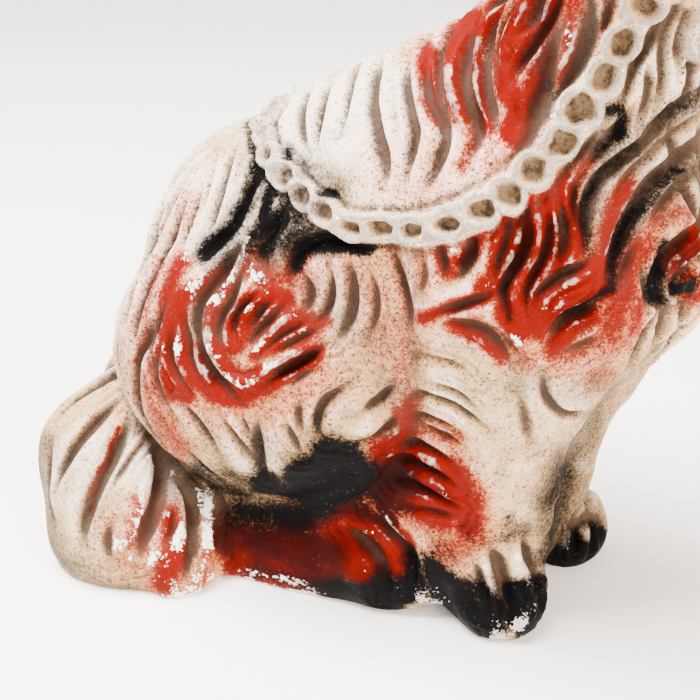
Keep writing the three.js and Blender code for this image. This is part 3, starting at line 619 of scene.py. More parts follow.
def ripple(clay):
    """Locks swell between their grooves, with finer strands beside them."""
    apart = clay.from_strokes()
    wander = np.array([noise.noise(Vector(p * 55)) for p in clay.points])
    swell = 0.0015 * smooth(0, 0.0055, apart) * smooth(0.020, 0.007, apart)
    waves = 0.5 - 0.5 * np.cos(2 * math.pi * (apart / 0.0034 - 1.0 + 0.5 * wander))
    reach = smooth(0.0028, 0.0044, apart) * smooth(0.0110, 0.0060, apart)
    return swell - 0.0011 * waves * reach * np.clip(0.8 + 1.4 * wander, 0, 1.4)


def lay_chain(clay, width, rise):
    """Lays oval links along their centres.

    Returns the links' height, their sunk middles, how covered a point is and the ditch beside them.
    """
    count = len(clay.points)
    pit, cover, height, ditch = (np.zeros(count) for _ in range(4))
    seen = clay.seen_at(CHAIN_LINKS)
    for centres in (seen, clay.nearest(mirrored(seen))):
        line = flowing(centres, 0.0009)
        nearest, best = np.full(count, 1.0), np.zeros(count, int)
        for k, p in enumerate(line):
            for _, i, d in clay.tree.find_range(Vector(p), 1.15 * width):
                if d < nearest[i]:
                    nearest[i], best[i] = d, k
        spots = np.flatnonzero(nearest < 1.1 * width)
        # each point's place along the row comes from the closest link centres themselves
        heading = np.gradient(line, axis=0)
        heading /= np.linalg.norm(heading, axis=1)[:, None]
        steps = np.concatenate([[0], np.cumsum(np.linalg.norm(np.diff(line, axis=0), axis=1))])
        wide = width * np.interp(np.arange(len(line)) / len(line), [0, 0.3, 0.55, 0.8, 1],
                                 [1.08, 1.12, 1.0, 0.84, 0.7])
        at_centre = [float(steps[np.argmin(np.linalg.norm(line - c, axis=1))]) for c in centres]
        offset = clay.points[spots] - line[best[spots]]
        forward = np.einsum("ij,ij->i", offset, heading[best[spots]])
        place = np.interp(steps[best[spots]] + forward, at_centre, np.arange(len(centres)))
        across = np.sqrt(np.clip(nearest[spots] ** 2 - forward**2, 0, None)) / (wide[best[spots]] / 2)
        link = np.round(place).astype(int)
        taller = 1 + 0.5 * smooth(0.72, 0.8, place / len(centres))
        u = np.abs(place - link) * 2
        sway = np.array([noise.noise_vector(Vector(p * 95)) for p in clay.points[spots]])
        u, across = u + 0.16 * sway[:, 0], across + 0.2 * sway[:, 1]
        chance = np.random.default_rng(7).uniform(0.86, 1.08,
                                                  len(centres) + 1)[np.clip(link, 0, len(centres))]
        r = np.hypot(u / 1.12, across / chance)
        melted = smooth(0.38, 0.46, place / len(centres)) * smooth(0.70, 0.64, place / len(centres))
        crumble = np.array([noise.noise(Vector(p * 190)) for p in clay.points[spots]])
        rim = np.clip(1 - ((r - 0.85) / 0.21) ** 2, 0, 1) ** 0.6 * (1 + 0.35 * crumble)
        rim = np.maximum(rim, (0.12 + 0.62 * melted) * (1 - smooth(0.7, 1.0, across + 0.2 * crumble)))
        crust = np.array([noise.noise(Vector(p * 420)) for p in clay.points[spots]])
        height[spots] = np.maximum(height[spots], rim * taller * (1 + 0.3 * crust))
        hole = 1 - smooth(0.5, 0.72,
                          np.hypot(u / 1.12, across / (0.98 - 0.3 * melted)) + 0.1 * crust + 0.24 * crumble)
        pit[spots] = np.maximum(pit[spots], hole)
        cover[spots] = np.maximum(cover[spots],
                                  1 - smooth(0.94, 1.12, np.where(melted > 0.5, np.minimum(r, across), r)))
        ditch[spots] = np.maximum(ditch[spots], smooth(0.96, 1.16, across) * smooth(1.62, 1.3, across))
    return height * (1 - pit) * rise - 0.0014 * pit - 0.0007 * ditch * (1 - cover), pit, cover, ditch


# The neck's collar and the locket on it, in hundredths of the height.
COLLAR_AT, COLLAR_AXIS = np.array([30.9, -0.9, 78.6]), np.array([7.7, -1, 21])
COLLAR_HALF_WIDTH, COLLAR_REACH = 1.21, 15
LOCKET_AT, LOCKET_RADIUS = (39.2, -7.8, 72.8), 3.64


def collar_and_locket(clay):
    """How much every point of the clay belongs to the collar's band and to the locket's disc."""
    p = to_shares(clay.points, clay.share)
    axis = COLLAR_AXIS / np.linalg.norm(COLLAR_AXIS)
    offset = p - COLLAR_AT
    near = np.linalg.norm(offset, axis=1) < COLLAR_REACH
    band = (1 - smooth(0.7, 1.1, np.abs(offset @ axis) / COLLAR_HALF_WIDTH)) * near
    spot = to_shares(clay.nearest([to_metres(LOCKET_AT, clay.share)]), clay.share)[0]
    disc = 1 - smooth(0.78, 1.05, np.linalg.norm(p - spot, axis=1) / LOCKET_RADIUS)
    return band, disc


def copy_of_node():
    """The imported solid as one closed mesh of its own."""
    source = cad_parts[NODE]
    figure = bpy.data.objects.new("painted_figure", source.data.copy())
    bpy.context.scene.collection.objects.link(figure)
    figure.data.materials.clear()
    work = bmesh.new()
    work.from_mesh(figure.data)
    bmesh.ops.remove_doubles(work, verts=work.verts, dist=2e-6)
    work.to_mesh(figure.data)
    work.free()
    return figure


def apply_modifier(piece, kind, **values):
    bpy.ops.object.select_all(action="DESELECT")
    bpy.context.view_layer.objects.active = piece
    piece.select_set(True)
    modifier = piece.modifiers.new(kind.lower(), kind)
    for key, value in values.items():
        setattr(modifier, key, value)
    bpy.ops.object.modifier_apply(modifier=modifier.name)


def write_points(mesh, points):
    mesh.vertices.foreach_set("co", points.ravel())
    mesh.update()


# Sprayed paint and glazing as the photograph shows it, with painted shade among the black, glazing and red
# strokes: strength, radius in pixels and path of each stroke.
SCARLET = [
    (0.5, 14, [(676, 212), (692, 220)]),
    (0.9, 8, [(187, 296), (205, 286), (226, 274)]),
    (0.75, 10, [(180, 262), (172, 290), (166, 320), (164, 345)]),
    (1.0, 10, [(168, 350), (172, 372), (182, 392)]),
    (1.0, 9, [(182, 300), (178, 330), (182, 352), (194, 374), (214, 390)]),
    (0.95, 9, [(190, 355), (202, 376), (218, 390), (240, 398)]),
    (0.85, 8, [(222, 286), (211, 308), (211, 335), (221, 358), (240, 374), (262, 372)]),
    (1.1, 11, [(222, 380), (245, 390), (264, 384), (286, 370), (312, 355)]),
    (1.1, 9, [(235, 342), (236, 316), (250, 302), (270, 298), (286, 302)]),
    (0.7, 8, [(250, 268), (264, 284), (276, 292)]),
    (0.8, 8, [(258, 356), (284, 343), (310, 330), (326, 320)]),
    (0.6, 9, [(258, 252), (268, 270), (280, 285)]),
    (0.7, 6, [(289, 258), (286, 282)]), (0.6, 6, [(306, 258), (297, 272)]),
    (0.42, 18, [(300, 270), (312, 296), (296, 318)]),
    (0.36, 26, [(190, 402), (240, 408), (290, 396), (326, 380)]),
    # The faint red along the haunch's right edge is painted shade of the crease there.
    (0.4, 12, [(390, 252), (402, 290), (408, 330)]),
    (0.36, 12, [(402, 340), (404, 380)]), (0.3, 12, [(152, 268), (137, 318), (130, 360), (136, 400)]),
    (0.25, 14, [(164, 240), (150, 290)]), (0.5, 7, [(160, 262), (150, 300), (142, 330), (136, 360)]),
    (0.5, 12, [(160, 330), (152, 380), (164, 420), (182, 446)]), (0.32, 14, [(190, 200), (172, 240)]),
    (0.34, 30, [(350, 270), (380, 300), (385, 340)]),
    (0.8, 9, [(430, 52), (427, 75), (430, 100), (437, 114)]),
    (0.95, 10, [(474, 18), (457, 40), (450, 65), (452, 90), (463, 114)]),
    (0.55, 9, [(466, 118), (474, 140), (463, 168)]),
    (0.9, 8, [(498, 4), (479, 32), (472, 55), (474, 80), (481, 105), (486, 128)]),
    (0.95, 13, [(540, -6), (516, 25), (505, 50), (503, 75), (508, 94)]),
    (1.1, 12, [(510, 96), (520, 116), (514, 132)]),
    (1.0, 10, [(556, 0), (536, 34), (520, 62)]), (1.0, 9, [(545, 54), (535, 76), (526, 104)]),
    (0.72, 9, [(576, -8), (571, 25), (568, 50), (562, 78)]), (0.4, 10, [(608, -8), (605, 30), (600, 54)]),
    (0.32, 16, [(415, 130), (442, 176)]), (0.4, 16, [(494, 130), (512, 146), (490, 164)]),
    (0.3, 14, [(410, 62), (416, 46)]),
    (0.28, 22, [(380, 160), (400, 190), (440, 190)]), (0.3, 14, [(545, 120), (530, 150)]),
    (0.85, 9, [(480, 230), (471, 250), (460, 264)]), (0.8, 9, [(440, 250), (448, 272)]),
    (1.1, 9, [(502, 222), (500, 250), (496, 275), (486, 292)]),
    (1.15, 11, [(522, 206), (524, 235), (518, 258), (506, 280),
                                                                         (508, 305), (516, 328)]),
    (1.15, 10, [(547, 198), (550, 230), (544, 256), (530, 280), (524, 304)]),
    (1.1, 10, [(566, 186), (573, 220), (574, 245),
                                                                                  (560, 266)]),
    (1.15, 12, [(606, 264), (585, 278), (562, 288), (546, 302), (538, 322)]),
    (1.15, 13, [(600, 286), (575, 300), (552, 320)]),
    (0.85, 11, [(632, 186), (615, 210), (608, 245), (604, 270)]),
    (0.7, 14, [(640, 245), (628, 270), (618, 300), (610, 325)]),
    (0.62, 12, [(640, 300), (632, 326)]), (1.0, 10, [(704, 232), (686, 250), (673, 266)]),
    (0.9, 11, [(592, 314), (570, 330), (556, 346)]),
    (0.6, 9, [(590, 160), (578, 176), (566, 190)]), (0.5, 10, [(660, 215), (648, 240)]),
    (0.7, 12, [(690, 280), (694, 296)]),
    (0.8, 7, [(496, 294), (470, 303), (440, 312), (424, 318)]),
    (0.8, 7, [(455, 325), (480, 338), (502, 357)]),
    (0.45, 16, [(470, 315), (500, 342), (530, 356)]), (0.5, 17, [(560, 352), (590, 346), (616, 336)]),
    (0.4, 12, [(588, 380), (602, 368)]),
    (0.35, 16, [(420, 260), (430, 290)]), (0.3, 20, [(420, 320), (430, 345)]),
    (1.2, 15, [(390, 455), (420, 462), (445, 480), (456, 502)]),
    (1.2, 18, [(380, 484), (410, 492), (442, 506)]),
    (0.85, 14, [(452, 468), (470, 500), (470, 524)]), (0.5, 13, [(400, 434), (430, 430), (456, 440)]),
    (0.7, 10, [(406, 405), (404, 432)]),
    (0.55, 18, [(474, 534), (448, 548)]), (1.0, 9, [(402, 436), (386, 462), (366, 482), (342, 502)]),
    (0.35, 9, [(404, 360), (406, 400)]),
    (1.25, 12, [(362, 522), (384, 542), (398, 564)]), (1.2, 14, [(338, 540), (362, 562), (372, 577)]),
    (1.0, 5, [(380, 506), (395, 520), (413, 546)]), (0.9, 22, [(232, 540), (270, 548), (310, 552)]),
    (1.2, 12, [(318, 548), (344, 560)]),
    (1.0, 15, [(240, 562), (290, 572), (334, 584)]), (0.95, 14, [(290, 522), (344, 512)]),
    (0.55, 7, [(136, 500), (140, 520), (128, 545)]), (0.55, 8, [(134, 520), (142, 548)]),
    (0.8, 13, [(168, 520), (176, 555), (166, 580)]),
    (0.7, 4, [(160, 480), (154, 510), (142, 540)]), (0.75, 3, [(118, 428), (108, 455), (96, 480), (87, 512)]),
    (0.3, 6, [(94, 420), (76, 444)]), (0.5, 9, [(206, 540), (205, 565), (195, 584)]),
    (0.3, 16, [(110, 530), (126, 558), (154, 578)]),
    (0.4, 7, [(186, 500), (200, 520)]), (1.0, 18, [(256, 318), (276, 330), (300, 328)]),
]
MAROON = [
    (0.3, 34, [(520, 220), (560, 250), (560, 300)]), (0.25, 26, [(500, 30), (520, 90)]),
    (0.25, 24, [(440, 480), (400, 460)]),
    (0.9, 14, [(366, 484), (392, 478), (410, 484)]), (1.0, 14, [(366, 504), (398, 508)]),
    (0.85, 26, [(236, 530), (290, 545), (330, 560)]),
    (0.8, 14, [(260, 572), (330, 586), (390, 590)]), (0.8, 7, [(522, 212), (525, 240), (515, 262)]),
    (0.7, 6, [(557, 222), (556, 256)]),
    (0.8, 8, [(584, 196), (582, 242)]), (0.55, 5, [(558, 2), (540, 30), (523, 60)]),
    (0.5, 4, [(468, 90), (479, 126)]),
    (0.6, 5, [(282, 372), (312, 357)]), (0.5, 7, [(334, 504), (300, 520)]),
    (0.7, 9, [(694, 248), (680, 266)]),
    (0.5, 5, [(474, 240), (462, 268)]), (0.4, 5, [(200, 356), (216, 384)]),
    (0.6, 6, [(605, 290), (570, 314)]),
    (0.5, 7, [(355, 560), (372, 574)]), (0.5, 9, [(430, 486), (452, 500)]),
    (0.45, 6, [(238, 322), (252, 304)]),
]
# Black paint of the paws and patches; the strokes on the far leg and paw, under the haunch, on the lower
# flank and along and beside the chain are painted shade.
BLACK_AND_SHADE = [
    (0.8, 14, [(562, 472), (554, 505), (550, 556)]), (0.5, 12, [(596, 420), (580, 450)]),
    (0.8, 13, [(288, 204), (304, 224), (288, 244)]),
    (0.75, 12, [(268, 228), (246, 250)]), (0.8, 4, [(254, 116), (256, 140), (264, 168), (284, 192)]),
    (0.6, 4, [(270, 116), (281, 138), (288, 158), (314, 186)]),
    (1.5, 9, [(440, 604), (468, 622), (494, 634)]),
    (1.3, 8, [(524, 632), (538, 606), (536, 584)]), (0.7, 8, [(508, 520), (524, 530)]),
    (0.5, 10, [(470, 530), (490, 540)]),
    (0.55, 11, [(372, 490), (386, 476), (400, 480)]), (0.95, 14, [(240, 512), (300, 514), (330, 506)]),
    (0.45, 10, [(250, 540), (300, 570), (340, 588)]),
    (1.2, 9, [(262, 170), (248, 198), (236, 218), (222, 238), (206, 254)]),
    (1.1, 8, [(274, 184), (268, 206), (262, 228)]),
    (1.0, 10, [(286, 190), (300, 200), (318, 212)]), (1.0, 9, [(288, 212), (276, 234), (268, 250)]),
    (0.6, 14, [(306, 162), (322, 178), (342, 192)]),
    (1.3, 8, [(295, 264), (300, 250), (315, 244), (340, 244), (364, 248)]),
    (0.5, 5, [(318, 124), (318, 144)]), (0.5, 5, [(339, 136), (346, 128)]),
    (0.5, 6, [(248, 160), (238, 176)]),
    (1.9, 20, [(334, 462), (344, 472), (322, 484)]), (1.4, 15, [(300, 472), (310, 488)]),
    (1.2, 12, [(262, 482), (300, 492)]),
    (0.8, 10, [(196, 472), (214, 484), (250, 494)]), (0.5, 9, [(176, 460), (195, 475)]),
    (1.3, 9, [(326, 200), (312, 206)]), (0.9, 10, [(278, 216), (254, 236)]),
    (0.8, 11, [(322, 220), (298, 232)]), (0.4, 4, [(664, 4), (644, 52), (624, 96)]),
    (0.5, 12, [(214, 250), (226, 262)]), (0.3, 5, [(352, 206), (396, 210), (440, 208), (470, 194)]),
    (0.9, 7, [(290, 150), (286, 168), (298, 184)]), (0.8, 6, [(250, 128), (254, 150), (264, 172)]),
    (0.6, 8, [(258, 438), (262, 466)]), (0.7, 14, [(228, 472), (256, 484)]),
    (0.6, 10, [(316, 424), (318, 440)]),
    (1.6, 11, [(340, 594), (380, 597), (416, 586)]), (1.0, 10, [(412, 560), (420, 582)]),
    (1.1, 11, [(430, 562), (438, 584)]),
    (0.85, 9, [(374, 582), (396, 590)]), (1.8, 13, [(448, 588), (472, 598), (490, 612)]),
    (1.7, 9, [(517, 592), (522, 610), (516, 620)]),
    (0.5, 6, [(488, 580), (506, 590)]), (0.7, 9, [(504, 534), (522, 526)]),
    (1.2, 8, [(574, 538), (582, 556)]), (1.0, 7, [(594, 528), (600, 546)]),
    (0.6, 7, [(560, 566), (580, 562)]), (0.9, 10, [(545, 560), (560, 566)]),
    (0.5, 10, [(436, 540), (450, 560)]),
    (0.75, 5, [(640, 150), (612, 168), (597, 184), (589, 206), (587, 250)]),
    (0.8, 6, [(700, 160), (664, 184), (648, 206), (627, 230), (618, 258), (607, 288)]),
    (0.5, 8, [(696, 164), (668, 190)]), (1.0, 8, [(604, 110), (622, 112), (620, 136)]),
    (0.7, 8, [(600, 152), (622, 138)]),
    (1.1, 7, [(664, 246), (657, 272), (661, 302)]), (1.1, 7, [(678, 292), (692, 284)]),
    (0.7, 5, [(606, 290), (590, 308), (565, 318)]),
    (0.6, 5, [(504, 290), (510, 318)]), (0.6, 7, [(544, 82), (552, 96)]),
    (0.6, 8, [(640, 128), (668, 118), (700, 96)]),
    (0.8, 7, [(586, 98), (590, 112)]), (0.4, 16, [(545, 490), (545, 540)]),
]
# Antique glazing in the hollows, and painted shade on the far leg, between the legs, at the haunch's right
# edge and on the lower parts.
GLAZE_AND_SHADE = [
    (0.85, 15, [(664, 206), (692, 204)]), (0.9, 15, [(560, 470), (553, 530)]),
    (0.8, 12, [(588, 502), (600, 516)]),
    (1.0, 16, [(612, 380), (596, 420), (584, 460)]), (0.8, 14, [(640, 350), (616, 384)]),
    (0.5, 14, [(470, 400), (520, 430), (500, 470)]),
    (1.1, 15, [(296, 204), (290, 240), (262, 262)]), (0.5, 12, [(128, 290), (124, 360), (136, 410)]),
    (0.35, 20, [(152, 250), (142, 330)]),
    (0.9, 24, [(572, 450), (560, 500), (580, 520)]), (0.8, 12, [(604, 410), (590, 440)]),
    (0.62, 60, [(80, 470), (110, 520), (150, 540)]), (0.8, 16, [(222, 516), (240, 548)]),
    (0.4, 30, [(230, 440), (300, 420)]), (0.45, 26, [(180, 440), (150, 380)]),
    (1.0, 8, [(496, 562), (502, 590), (504, 625)]), (0.9, 7, [(534, 550), (538, 590), (534, 615)]),
    (1.0, 16, [(580, 480), (576, 520)]),
    (0.9, 16, [(156, 440), (168, 500)]), (1.1, 11, [(44, 440), (42, 500), (58, 550)]),
    (1.1, 12, [(56, 556), (104, 582), (140, 594)]),
    (1.0, 14, [(256, 240), (226, 268), (208, 296), (202, 330)]),
    (0.8, 10, [(404, 250), (412, 300), (408, 360), (402, 420)]),
    (0.6, 20, [(372, 300), (384, 350), (376, 400)]),
    (0.9, 12, [(566, 20), (548, 60), (542, 110), (526, 146)]),
    (1.0, 8, [(590, -6), (588, 30), (576, 64)]), (1.0, 16, [(190, 464), (230, 486), (256, 478)]),
    (0.8, 16, [(560, 566), (590, 560)]), (0.6, 9, [(40, 520), (100, 572), (150, 596), (204, 592)]),
    (0.6, 16, [(440, 556), (470, 548)]),
    (0.6, 22, [(530, 440), (560, 420), (600, 400)]), (0.8, 24, [(520, 380), (560, 390), (600, 376)]),
    (1.1, 16, [(700, 96), (650, 138), (600, 180), (588, 240)]),
    (1.1, 17, [(704, 140), (650, 186), (618, 245), (606, 280)]),
    (0.9, 14, [(700, 180), (664, 214)]), (0.9, 12, [(665, 246), (658, 300)]),
    (0.8, 14, [(612, 104), (600, 150)]),
    (0.55, 40, [(330, 300), (370, 340), (350, 400)]), (0.6, 26, [(200, 440), (260, 450), (320, 440)]),
    (0.8, 20, [(236, 510), (300, 520)]), (0.7, 14, [(596, 440), (622, 396), (656, 350)]),
    (0.5, 20, [(470, 530), (500, 545)]),
    (0.8, 16, [(140, 424), (162, 452), (178, 486)]), (0.8, 10, [(214, 496), (222, 530), (222, 552)]),
    (0.7, 14, [(50, 470), (52, 520), (75, 552), (110, 572)]), (0.5, 14, [(60, 430), (80, 400), (110, 368)]),
    (0.7, 13, [(98, 535), (120, 562)]), (1.1, 24, [(566, 460), (552, 510), (556, 556)]),
    (0.8, 14, [(600, 420), (572, 466)]),
    (0.6, 16, [(655, 132), (695, 106)]), (0.5, 14, [(640, 96), (656, 70)]), (0.45, 12, [(672, 44), (676, 6)]),
    (0.5, 12, [(350, 296), (348, 336)]), (0.6, 8, [(402, 380), (400, 424)]),
    (0.5, 14, [(330, 392), (318, 430)]),
    (0.7, 12, [(200, 438), (236, 470)]), (0.5, 13, [(498, 542), (524, 520)]),
    (0.5, 20, [(610, 370), (640, 340)]),
    (0.6, 20, [(545, 110), (540, 140)]), (0.5, 12, [(300, 160), (300, 190)]),
    (0.9, 12, [(200, 500), (185, 470)]),
    (0.5, 14, [(440, 424), (420, 432)]), (0.4, 20, [(380, 520), (410, 530)]),
    (0.35, 26, [(300, 300), (340, 300)]),
    (0.4, 18, [(140, 590), (200, 590)]), (0.9, 16, [(578, 500), (598, 520), (588, 534)]),
    (0.6, 15, [(560, 470), (556, 530)]),
]
WORN = [
    (1.0, 10, [(238, 246), (226, 272), (212, 300)]), (0.9, 9, [(250, 258), (264, 286)]),
    (0.8, 7, [(246, 312), (264, 318)]),
    (1.0, 9, [(262, 352), (298, 334)]), (0.5, 7, [(214, 345), (235, 372), (256, 378)]),
    (0.9, 8, [(196, 292), (216, 270)]),
    (1.1, 7, [(166, 345), (184, 345)]), (0.9, 9, [(204, 232), (216, 212)]),
    (1.1, 9, [(203, 494), (210, 515), (207, 542)]),
    (1.1, 10, [(118, 545), (128, 552)]), (1.05, 8, [(152, 466), (147, 500), (138, 522)]),
    (0.95, 13, [(158, 562), (178, 538)]),
    (1.0, 12, [(172, 588), (206, 575)]), (1.2, 6, [(248, 572), (290, 582), (314, 589)]),
    (1.2, 6, [(424, 597), (442, 602)]),
    (1.5, 8, [(498, 634), (516, 624)]), (0.8, 5, [(478, 556), (483, 580)]),
    (0.9, 5, [(517, 556), (520, 582)]), (1.3, 7, [(424, 594), (436, 598)]),
    (0.9, 5, [(576, 64), (562, 95), (550, 115)]), (0.8, 9, [(185, 268), (190, 262)]),
    (0.6, 14, [(350, 158), (360, 170)]), (0.5, 14, [(60, 480), (80, 440)]),
    (0.8, 5, [(420, 244), (436, 252)]), (0.8, 4, [(450, 244), (456, 252)]),
    (0.9, 5, [(508, 334), (518, 342)]), (0.6, 6, [(470, 552), (486, 560)]),
    (0.5, 12, [(230, 190), (214, 230)]),
]
# Where the ground coat is whiter, mostly along the tops of the back, rump and tail.
PALE = [
    (1.0, 50, [(290, 130), (360, 110), (420, 100)]), (0.8, 40, [(400, 170), (450, 160)]),
    (0.9, 30, [(215, 190), (180, 240)]),
    (0.5, 22, [(150, 260), (130, 330)]), (0.4, 20, [(60, 480), (90, 450), (150, 480)]),
    (0.6, 22, [(500, 140), (540, 130)]),
    (0.5, 22, [(650, 60), (690, 60)]), (0.4, 40, [(520, 420), (510, 470)]),
]


def spray(u, v, strokes):
    """The strongest of the soft strokes at every pixel place."""
    total = np.zeros(len(u))
    for strength, radius, path in strokes:
        gap = np.full(len(u), 1e6)
        for (ax, ay), (bx, by) in zip(path, path[1:]):
            dx, dy = bx - ax, by - ay
            t = np.clip(((u - ax) * dx + (v - ay) * dy) / (dx * dx + dy * dy), 0, 1)
            gap = np.minimum(gap, np.hypot(u - ax - t * dx, v - ay - t * dy))
        total = np.maximum(total, strength * np.exp(-0.5 * (gap / radius) ** 1.8))
    return total


# How far, in pixels, a stroke's edge wanders.
DRIFT_PX = 5


def paint_layers(clay, pit, cover, ditch, band, disc, lift):
    """The strength of each sprayed coat and of the glazing at every point of the clay, with painted shade and
    painted highlight among them.
    """
    p = to_shares(clay.points, clay.share)
    names = list(PARTS)
    part = part_of(p)
    is_part = lambda *wanted: np.isin(part, [names.index(n) for n in wanted])
    far = p[:, 1] > 0
    lone = is_part("tail", "near_leg", "far_leg", "near_paw", "far_paw", "head", "nose", "brow", "eye", "ear")
    straight = clay.blurred((~far | lone).astype(float), 40)
    drift = np.array([noise.noise_vector(Vector(q * 130)) for q in clay.points])
    places = [
        (u + DRIFT_PX * drift[:, 0], v + DRIFT_PX * drift[:, 1])
        for u, v in map(pixels_of, (clay.points, mirrored(clay.points)))
    ]

    def coat(strokes):
        """The strokes as seen, and as their mirror on the far side, blended where the two meet."""
        own, twin = (spray(u, v, strokes) for u, v in places)
        return straight * own + (1 - straight) * twin

    top = is_part("head", "nose", "brow", "eye", "ear") | (p[:, 2] > 79)
    hidden = top | (is_part("far_paw", "far_leg") & (p[:, 1] > 12))
    soft = (0.85 + 0.15 * straight) * ~hidden * (1 - clay.blurred(top.astype(float), 20))
    layers = {
        "scarlet": coat(SCARLET) * soft,
        "maroon": coat(MAROON) * soft,
        "soot": coat(BLACK_AND_SHADE) * soft,
        "glaze": coat(GLAZE_AND_SHADE) * soft,
        "worn": coat(WORN) * soft,
    }
    layers["scarlet"] += is_part("ear") * 0.95 + is_part("head") * 0.5 * smooth(93, 99, p[:, 2])
    layers["maroon"] += is_part("ear") * 0.3
    layers["soot"] += is_part("nose", "eye") * 1.4 + is_part("far_paw") * 0.9 * smooth(5.5, 2.5, p[:, 2])
    layers["maroon"] *= 1.25
    # painted shade in the ditch along the chain's edge
    layers["glaze"] = np.maximum(layers["glaze"], 0.8 * ditch)
    for name, kept in (("scarlet", 0.12), ("maroon", 0.12), ("soot", 0.5)):
        layers[name] *= (1 - (1 - kept) * cover) * (1 - np.maximum(band, disc))
    # crests paler and valleys darker: partly wear and antique glazing, partly painted highlight and painted
    # shade
    bulge = clay.blurred(lift, 3) - clay.blurred(lift, 34)
    layers["crest"] = np.clip(bulge / 0.0007, 0, 1.3)
    layers["valley"] = np.clip(-bulge / 0.0009, 0, 1.3) * (1 - pit)
    # painted shade: darker where the surface lies sunk below its surroundings, as in creases between parts
    sunk = np.stack([clay.blurred(clay.points[:, k].copy(), 80) for k in range(3)], axis=1) - clay.points
    layers["crease"] = np.clip(np.einsum("ij,ij->i", sunk, clay.normals) / 0.0013, 0, 1.3)
    # pale lips on ridge edges: partly worn edges, partly painted highlight
    lip = clay.blurred(lift, 1) - clay.blurred(lift, 9)
    layers["lip"] = np.clip(lip / 0.0005, 0, 1.3) * (1 - cover)
    layers["pit"] = pit
    layers["pale"] = coat(PALE) + 0.3 * clay.blurred(top.astype(float), 20)
    layers["chain"] = np.maximum(cover, np.maximum(band, disc))
    full = np.clip(clay.groove / 0.0034, 0, 1.2)
    layers["groove"] = full * (1 - cover)
    layers["rim"] = smooth(0.0035, 0.0005, clay.points[:, 2])
    return layers


class Nodes:
    """Short hand for wiring a material."""

    def __init__(self, name):
        self.material = bpy.data.materials.new(name)
        self.material.use_nodes = True
        self.tree = self.material.node_tree
        self.shader = self.tree.nodes["Principled BSDF"]

    def add(self, kind, **values):
        node = self.tree.nodes.new(kind)
        for key, value in values.items():
            setattr(node, key, value)
        return node

    def put(self, socket, value):
        if isinstance(value, bpy.types.NodeSocket):
            self.tree.links.new(value, socket)
        else:
            socket.default_value = value

    def math(self, operation, a, b=0.0, clamp=False):
        node = self.add("ShaderNodeMath", operation=operation, use_clamp=clamp)
        self.put(node.inputs[0], a)
        self.put(node.inputs[1], b)
        return node.outputs[0]

    def ramp(self, value, low, high, bottom=0.0, top=1.0):
        node = self.add("ShaderNodeMapRange", interpolation_type="SMOOTHSTEP")
        for socket, v in zip(node.inputs, (value, low, high, bottom, top)):
            self.put(socket, v)
        return node.outputs[0]

    def mix(self, factor, a, b):
        node = self.add("ShaderNodeMix", data_type="RGBA")
        self.put(node.inputs["Factor"], factor)
        for socket, v in ((node.inputs[6], a), (node.inputs[7], b)):
            self.put(socket, (*v, 1.0) if isinstance(v, tuple) else v)
        return node.outputs[2]

    def layer(self, name):
        return self.add("ShaderNodeAttribute", attribute_name=name).outputs["Fac"]

    def noise(self, scale, detail=2.0, rough=0.5, seed=0.0):
        place = self.add("ShaderNodeTexCoord").outputs["Object"]
        if seed:
            shift = self.add("ShaderNodeVectorMath", operation="ADD")
            self.put(shift.inputs[0], place)
            shift.inputs[1].default_value = (seed, seed * 1.7, -seed)
            place = shift.outputs[0]
        node = self.add("ShaderNodeTexNoise")
        self.put(node.inputs["Vector"], place)
        for key, v in (("Scale", scale), ("Detail", detail), ("Roughness", rough)):
            node.inputs[key].default_value = v
        return node.outputs["Fac"]

    def specks(self, scale, size, seed=0.0):
        """Scattered dots: 1 inside a dot."""
        place = self.add("ShaderNodeTexCoord").outputs["Object"]
        shift = self.add("ShaderNodeVectorMath", operation="ADD")
        self.put(shift.inputs[0], place)
        shift.inputs[1].default_value = (seed, -seed, seed * 0.6)
        node = self.add("ShaderNodeTexVoronoi")
        self.put(node.inputs["Vector"], shift.outputs[0])
        node.inputs["Scale"].default_value = scale
        inside = self.ramp(node.outputs["Distance"], size, size * 0.6)
        chance = self.add("ShaderNodeSeparateColor")
        self.put(chance.inputs[0], node.outputs["Color"])
        return inside, chance.outputs[0]


# Colours that follow from the wear and not from a pot of paint; PIT_SHADE is painted shade deep in the links'
# pits.
PINK_WASH = (0.86, 0.30, 0.22, 1)
DARK_BUBBLE = (0.03, 0.022, 0.018)
GRIT_BROWN = (0.040, 0.027, 0.019)
PIT_BROWN, PIT_SHADE = (0.085, 0.053, 0.033), (0.016, 0.010, 0.007)
CRUST_DARK, CRUST_PALE = (0.13, 0.100, 0.072), (0.46, 0.38, 0.30)
CHIP, SOOTY_CHIP = (0.80, 0.73, 0.67), (0.42, 0.37, 0.36)


